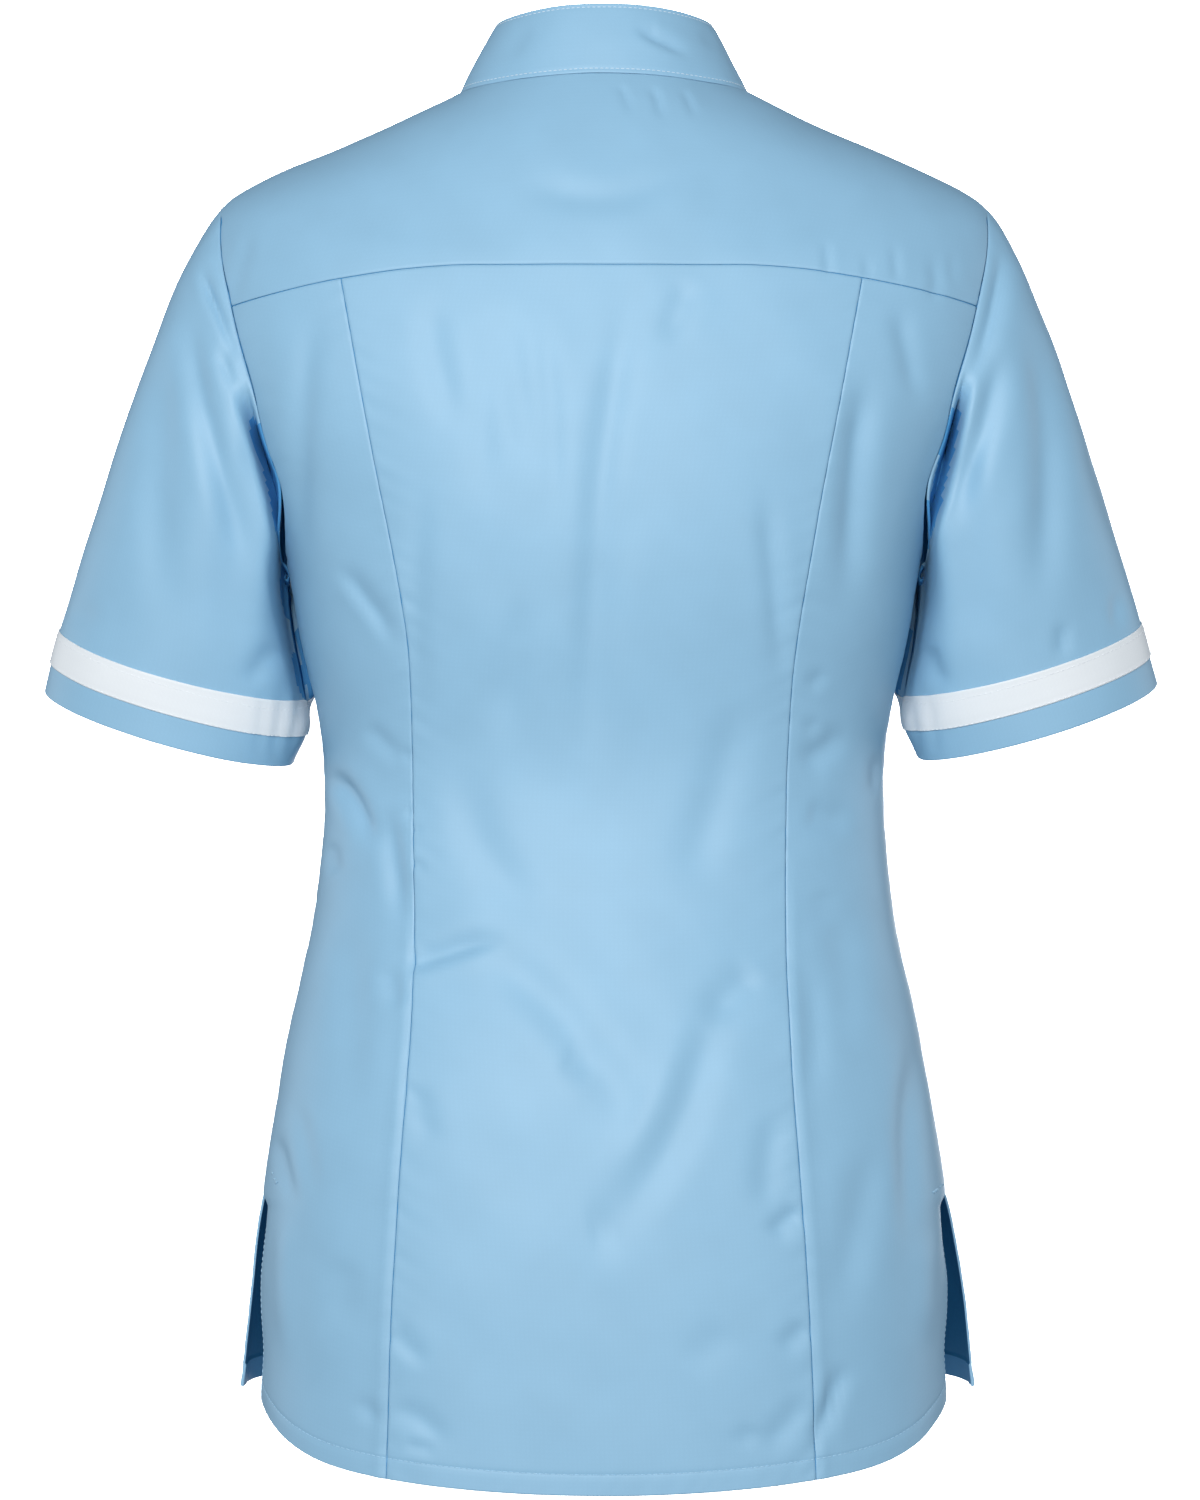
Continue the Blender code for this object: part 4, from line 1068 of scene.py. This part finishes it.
def sleeve_surface(side):
    """Inner points of a sleeve: rows from the armhole to the hem, the last ones at set distances."""
    angle, level = armhole_ring(side)
    edge = body(angle, level)
    normal = body_normal(angle, level)
    loop = np.roll(edge, -1, axis=0) - np.roll(edge, 1, axis=0)
    away = unit(np.cross(loop, normal)) * side
    walked = walk(np.vstack([edge, edge[:1]]))
    under = walked[ARMHOLE_BACK - 1]
    turn = np.where(walked[:-1] <= under, 0.5 * walked[:-1] / under,
                    0.5 + 0.5 * (walked[:-1] - under) / (walked[-1] - under))
    wrapped = [(row[0] + lap, *row[1:]) for lap in (-1, 0, 1) for row in SLEEVE_LEAVES]
    leave_x, leave_y, leave_z, pull = curve_columns(wrapped, turn)
    mirror = np.array([side, 1, 1])
    leave = np.stack([leave_x, leave_y, leave_z], axis=-1) * mirror
    start = join_start(edge, normal, away, unit(leave), WALL)
    *centre, half_width, half_depth, spread, forward = SLEEVE_HEMS[side]
    outward, backward, downward = sleeve_frame(spread, forward)
    swing = 2 * math.pi * turn[:, None]
    hem = np.array(centre) + outward * half_width * np.cos(swing)
    hem = (hem + backward * half_depth * np.sin(swing)) * mirror
    arrive = downward * pull[:, None] * mirror
    first_row = 1 - TAPE_TOP / pull
    part = np.concatenate([SLEEVE_UPPER[:-1, None] * first_row, 1 - SLEEVE_LOWER[:, None] / pull])
    v = part[..., None]
    points = ((2 * v**3 - 3 * v**2 + 1) * start + (v**3 - 2 * v**2 + v) * leave
              + (3 * v**2 - 2 * v**3) * hem + (v**3 - v**2) * arrive)
    return points, turn


class Sleeve:
    """A sleeve as fine grids that run round the arm and down from the armhole to the hem."""

    def __init__(self, side, word):
        self.side, self.word = side, word
        self.base, self.turn = sleeve_surface(side)
        self.normal = grid_normals(self.base) * side
        down = along(self.base, 0)
        part, from_hem = down / down[-1:], down[-1:] - down
        self.from_hem = from_hem
        inward = UNDERARM_IN * bell(self.turn, 0.50, 0.11)[None, :] * smooth(part, 0.25, 1.0)
        resting = smooth(self.turn, 0.50, 0.58) * (1 - smooth(self.turn, 0.66, 0.80))
        inward += UNDERARM_REST * resting[None, :] * smooth(part, 0.05, 0.4) * (1 - smooth(part, 0.60, 0.80))
        inward -= 0.006 * bell(self.turn, 0.50, 0.09)[None, :] * (1 - smooth(from_hem, 0, 0.022))
        out = np.abs(self.base[..., 0])
        rest = torso_reach(self.base[..., 1], self.base[..., 2]) + 0.0022
        self.base[..., 0] = side * np.maximum(out - inward, np.minimum(out, rest))
        # faces resting against the torso, which take painted shade below
        shaded_resting_on = (np.abs(self.base[..., 0]) < rest + 0.0035) & (part > 0.3) & (from_hem > TAPE_TOP)
        shaded_resting_on &= (np.abs(self.turn - 0.5) < 0.12)[None, :]
        x, z = self.base[..., 0], self.base[..., 2]
        facing = self.normal[..., 1]
        sink = smooth(facing, -0.05, 0.35) * folds_on(x, z, SLEEVE_FOLDS[side], SLEEVE_DEPTH)
        sink += smooth(-facing, -0.05, 0.35) * folds_on(x, z, SLEEVE_FRONT_FOLDS[side])
        sink += 0.0004 * ripple(17 + side, x, self.base[..., 1], z, waves=12, shortest=0.03, longest=0.1)
        sink = sink * smooth(down, 0.0, 0.012)
        circle = along(np.concatenate([self.base, self.base[:, :1]], axis=1), 1)
        gather = ripple(23 + side, circle[:, :-1] + 0.3 * down, waves=8, shortest=0.010, longest=0.03)
        sink += 0.0003 * gather * np.exp(-down / 0.010) * smooth(down, 0.0, 0.002)
        tuck = folds_on(x, z, SLEEVE_TUCKS[side], SLEEVE_DEPTH, 1.0)
        tuck = tuck * smooth(self.base[..., 1], -0.03, 0.01)
        self.base[..., 1] -= np.maximum(tuck, 0) * smooth(down, 0.0002, 0.003)
        lift = np.full(x.shape, CLOTH_LIFT + CLOTH)
        lift = lift - edge_profile(down, "seam") - edge_profile(from_hem, "fold")
        under_seam = np.abs(self.turn - 0.5)[None, :] * circle[:, -1:]
        lift = lift - 0.0005 * bell(under_seam, 0, 0.0012)
        under = CLOTH_LIFT - CLOTH * (1 - smooth(from_hem, TAPE_TOP - 0.001, TAPE_TOP))
        self.middle = self.base - self.normal * sink[..., None]
        self.normal = grid_normals(self.middle) * side
        self.outer = self.middle + self.normal * lift[..., None]
        self.inner = self.middle + self.normal * np.minimum(under, lift - THINNEST)[..., None]
        self.uv = np.stack([circle[:, :-1], down], axis=-1)
        points, faces = shell(self.outer, self.inner, closed=True, flip=side > 0)
        turning = self.turning()
        more, more_faces = shell(*turning, start=len(points), closed=True, flip=side > 0)
        flat = [self.uv.reshape(-1, 2)] * 2 + [self.uv[:len(turning[0])].reshape(-1, 2)] * 2
        thing = add_mesh(f"sleeve_{word}_cloth", np.concatenate([points, more]), faces + more_faces,
                         np.concatenate(flat))
        # painted shade: inner faces take the darker inside look and the armhole turnings the turned look;
        # faces deep in the underarm tucks and those resting against the torso take the turned look too,
        # standing in for the shade between sleeve and torso
        inside = inner_faces(self.outer.shape[0] - 1, self.outer.shape[1], len(faces)) + [2] * len(more_faces)
        share = 0.42 - 0.20 * smooth(part, 0.35, 0.55)
        painted_shade_faces = np.where((shaded_resting_on | (tuck > share * tuck.max()))[:-1], 2, 0).ravel()
        inside[:len(painted_shade_faces)] = painted_shade_faces.tolist()
        finish_piece(thing, CLOTH_LOOK, "blue_cloth", f"sleeve_{word}", inside=inside)

    def turning(self):
        """The armhole's turnings, laid flat inside the sleeve."""
        base, normal = self.middle[:TURNING_ROWS], self.normal[:TURNING_ROWS]
        down = unit(base[2] - base[0])
        base = np.concatenate([(base[0] - down * 0.0004)[None], base])
        normal = np.concatenate([normal[:1], normal])
        return base, base - normal * CLOTH

    def line(self, from_hem, lift=0.0):
        """Points and normals of the outer face at a distance from the hem."""
        normal = grid_normals(self.outer) * self.side
        points, normals = [], []
        for j in range(self.outer.shape[1]):
            away = self.from_hem[::-1, j]
            points.append(read_at(from_hem, away, self.outer[::-1, j]))
            normals.append(read_at(from_hem, away, normal[::-1, j]))
        points, normals = np.array(points), unit(np.array(normals))
        points = points + normals * lift
        return np.vstack([points, points[:1]]), np.vstack([normals, normals[:1]])

    def tape(self):
        """The white tape, sewn flat on the sleeve above its hem."""
        first = len(SLEEVE_UPPER) - 1
        rows = slice(first, first + TAPE_ROWS)
        normal = grid_normals(self.outer)[rows] * self.side
        foot = self.outer[rows] + normal * 0.0001
        distance = along(foot, 0)
        edge = np.minimum(distance, distance[-1:] - distance)
        thick = 0.00075 - 0.00045 * np.clip(1 - edge / 0.0006, 0, 1)**2
        thick -= 0.00014 * bell(edge, 0.0012, 0.0006)
        points, faces = shell(foot + normal * thick[..., None], foot, closed=True, flip=self.side > 0)
        thing = add_mesh(f"sleeve_tape_{self.word}_cloth", points, faces,
                         np.concatenate([self.uv[rows].reshape(-1, 2)] * 2))
        finish_piece(thing, TAPE_LOOK, "white_tape", f"sleeve_tape_{self.word}")


sleeves = [Sleeve(side, word) for side, word in ((1, "left"), (-1, "right"))]
for sleeve in sleeves:
    sleeve.tape()


# ---------------------------------------------------------------- collar

def build_collar():
    """The stand collar; gives the lines of its stitches."""
    end = math.pi - COLLAR_END_TURN
    angles = np.linspace(-end, end, 181)
    level = np.full(angles.shape, NECK_SEAM)
    edge, normal = body(angles, level), body_normal(angles, level)
    up = unit(edge - body(angles, level - NORMAL_RISE))
    top = ring_point(angles, np.full(angles.shape, COLLAR_TOP[0]), np.array(COLLAR_TOP[1:])[:, None])
    start = join_start(edge, normal, up, unit(top - edge), COLLAR_WALL) - up * COLLAR_DROP
    walked = walk(start)
    to_end = np.minimum(walked, walked[-1] - walked)
    inside = np.clip(COLLAR_CORNER - to_end, 0, COLLAR_CORNER)
    cut = COLLAR_CORNER - np.sqrt(COLLAR_CORNER**2 - inside**2)
    height = np.linalg.norm(top - start, axis=1)
    usual = float(np.median(height))
    rows = stops_over(usual, (COLLAR_STITCH,)) / usual
    share = (1 - cut / height)[None, :, None] * rows[:, None, None]
    base = start + (top - start) * share
    normals = unit(np.cross(np.gradient(base, axis=0), np.gradient(base, axis=1)))
    up_it, over = along(base, 0), along(base, 1)
    from_foot, from_top = up_it, up_it[-1:] - up_it
    from_end = np.minimum(over, over[:, -1:] - over)
    lift = COLLAR_LIFT - edge_profile(from_foot, "seam") * 0.5
    for edge_away in (from_top, from_end):
        lift = lift - edge_profile(edge_away, "fold")
    for mark in (from_foot, from_top, from_end):
        lift = lift - 0.0002 * bell(mark, COLLAR_STITCH, 0.0007)
    x, z = base[..., 0], base[..., 2]
    sink = smooth(normals[..., 1], 0.0, 0.3) * folds_on(x, z, COLLAR_FOLDS, COLLAR_DEPTH)
    sink += 0.0003 * ripple(41, x, base[..., 1], z, waves=10, shortest=0.02, longest=0.07)
    sink -= 0.0006 * np.sin(math.pi * np.clip(up_it / up_it[-1:], 0, 1))
    outer = base + normals * (lift - sink)[..., None]
    inner = base + normals * (np.minimum(0.0, lift - 0.0003) - sink)[..., None]
    uv = np.stack([over, up_it], axis=-1)
    points, faces = shell(outer, inner)
    thing = add_mesh("collar_cloth", points, faces, np.concatenate([uv.reshape(-1, 2)] * 2))
    # painted shade: the collar's inner faces take the darker inside look
    inside = inner_faces(outer.shape[0] - 1, outer.shape[1] - 1, len(faces))
    finish_piece(thing, CLOTH_LOOK, "blue_cloth", "collar", inside=inside)
    fine = grid_normal(outer, normals)
    runs = []
    for mark, start_row in ((0.0021, from_foot), (0.0024, from_top)):
        row = np.argmin(np.abs(start_row - mark), axis=0)
        columns = np.arange(len(angles))
        keep = from_end[row, columns] > 0.003
        runs.append((outer[row, columns][keep], fine[row, columns][keep]))
    return runs


collar_runs = build_collar()


# ---------------------------------------------------------------- stitches

def on_vent(points):
    return (points[:, 2] < VENT_TOP) & (points[:, 2] > FRONT_HEM - 0.02)


body_runs = [panels[name].line(BOTTOM, HEM_WIDTH) for name in
             ("back_centre", "side_back_left", "side_back_right", "front_left", "front_right")]
vent_runs = [panels[name].line(edge, VENT_TURN - 0.001, on_vent) for name, edge in (
    ("side_back_left", LAST), ("side_back_right", FIRST), ("front_left", FIRST), ("front_right", LAST))]
stand_runs = [panels[name].line(edge, distance) for name, edge, distance in (
    ("front_right", FIRST, 0.003), ("front_right", FIRST, 0.031), ("front_left", LAST, 0.003))]
stitches("stitch_hems", body_runs + vent_runs, THREAD_LOOK, "blue_cloth")
stitches("stitch_stands", stand_runs, THREAD_LOOK, "blue_cloth")
stitches("stitch_collar", collar_runs, WHITE_THREAD_LOOK, "blue_cloth",
         length=0.0017, gap=0.0009, thread=0.00013)


def bar_tack(panel, start, end):
    """Short threads laid close together across a line on a panel, given by where it shows."""
    (x0, z0), (x1, z1) = seen(*start, VENT_DEPTH), seen(*end, VENT_DEPTH)
    flat = panel.outer.reshape(-1, 3)
    fine = grid_normal(panel.outer, panel.normal).reshape(-1, 3)
    along_it = unit(np.array([x1 - x0, 0, z1 - z0]))
    runs = []
    for share in np.linspace(0, 1, 11):
        x, z = x0 + (x1 - x0) * share, z0 + (z1 - z0) * share
        near = np.argmin((flat[:, 0] - x)**2 + (flat[:, 2] - z)**2 - 1e-6 * flat[:, 1])
        middle = np.array([x, flat[near, 1], z])
        across = unit(np.cross(fine[near], along_it)) * 0.0008
        runs.append((np.array([middle - across, middle, middle + across]), np.array([fine[near]] * 3)))
    return runs


tack_runs = bar_tack(panels["side_back_left"], (274, 1169), (279, 1179))
tack_runs += bar_tack(panels["side_back_right"], (930, 1188), (942, 1183))
stitches("stitch_tacks", tack_runs, THREAD_LOOK, "blue_cloth", length=0.0015, gap=0.00005, thread=0.00022)
tape_runs = [sleeve.line(mark, 0.0008) for sleeve in sleeves
             for mark in (TAPE_TOP - 0.0012, TAPE_ABOVE_HEM + 0.0012)]
stitches("stitch_tapes", tape_runs, WHITE_THREAD_LOOK, "white_tape")

for number in range(1, 7):
    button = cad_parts[f"button_{number}"]
    button.data.materials.clear()
    button.data.materials.append(BUTTON_LOOK)

# ---------------------------------------------------------------- studio and camera

def plain(name, colour, place, turn=(0, 0, 0)):
    """A wide flat surface that casts no colour on the cloth."""
    data = bpy.data.meshes.new(name)
    corners = [(-1, -1), (1, -1), (1, 1), (-1, 1)]
    data.from_pydata([(STUDIO_HALF * x, STUDIO_HALF * y, 0) for x, y in corners], [], [(0, 1, 2, 3)])
    thing = bpy.data.objects.new(name, data)
    thing.location, thing.rotation_euler = place, turn
    bpy.context.collection.objects.link(thing)
    data.materials.append(shader_of(name, colour, 0.9)[0])
    thing.visible_diffuse = thing.visible_glossy = False


STUDIO_HALF = 7
plain("floor", (0.93, 0.93, 0.93), (0, 0, -1.02))
plain("backdrop", (0.96, 0.96, 0.96), (0, -5.5, 0), (math.radians(-90), 0, 0))


def softbox(name, place, aim, size, power):
    light = bpy.data.lights.new(name, "AREA")
    light.shape = "SQUARE"
    light.size, light.energy = size, power
    thing = bpy.data.objects.new(name, light)
    thing.location = place
    thing.rotation_euler = (Vector(aim) - Vector(place)).to_track_quat("-Z", "Y").to_euler()
    thing.visible_camera = False
    bpy.context.collection.objects.link(thing)


SHIRT = (0, 0, -0.35)
for light in (
    # name, place, what it is aimed at, size, watts
    ("key", (0.45, 3.1, 0.48), SHIRT, 1.5, 80),
    ("fill", (-1.7, 3.0, -0.4), SHIRT, 1.8, 8),
    ("side_left", (2.7, -1.2, -0.3), SHIRT, 1.6, 14),
    ("side_right", (-2.7, -1.2, -0.3), SHIRT, 1.6, 15),
    ("front", (-0.5, -3.1, -0.2), SHIRT, 1.5, 42),
    ("wall_light", (0, -3.4, 1.7), (0, -5.5, 0.6), 2.4, 460),
):
    softbox(*light)

world = bpy.data.worlds.new("studio")
world.use_nodes = True
world.node_tree.nodes["Background"].inputs["Color"].default_value = (0.74, 0.87, 1, 1)
world.node_tree.nodes["Background"].inputs["Strength"].default_value = 0.31
bpy.context.scene.world = world
bpy.context.scene.view_settings.view_transform = "Standard"

lens = bpy.data.cameras.new("camera")
lens.sensor_width = 36
lens.lens = 36 * VIEW_DISTANCE / (1500 * VIEW_SCALE)
camera = bpy.data.objects.new("camera", lens)
camera.location = ((VIEW_MIDDLE[0] - 600) * VIEW_SCALE, VIEW_DISTANCE, VIEW_HEIGHT)
camera.rotation_euler = (math.pi / 2, 0, math.pi)
bpy.context.collection.objects.link(camera)
bpy.context.scene.camera = camera
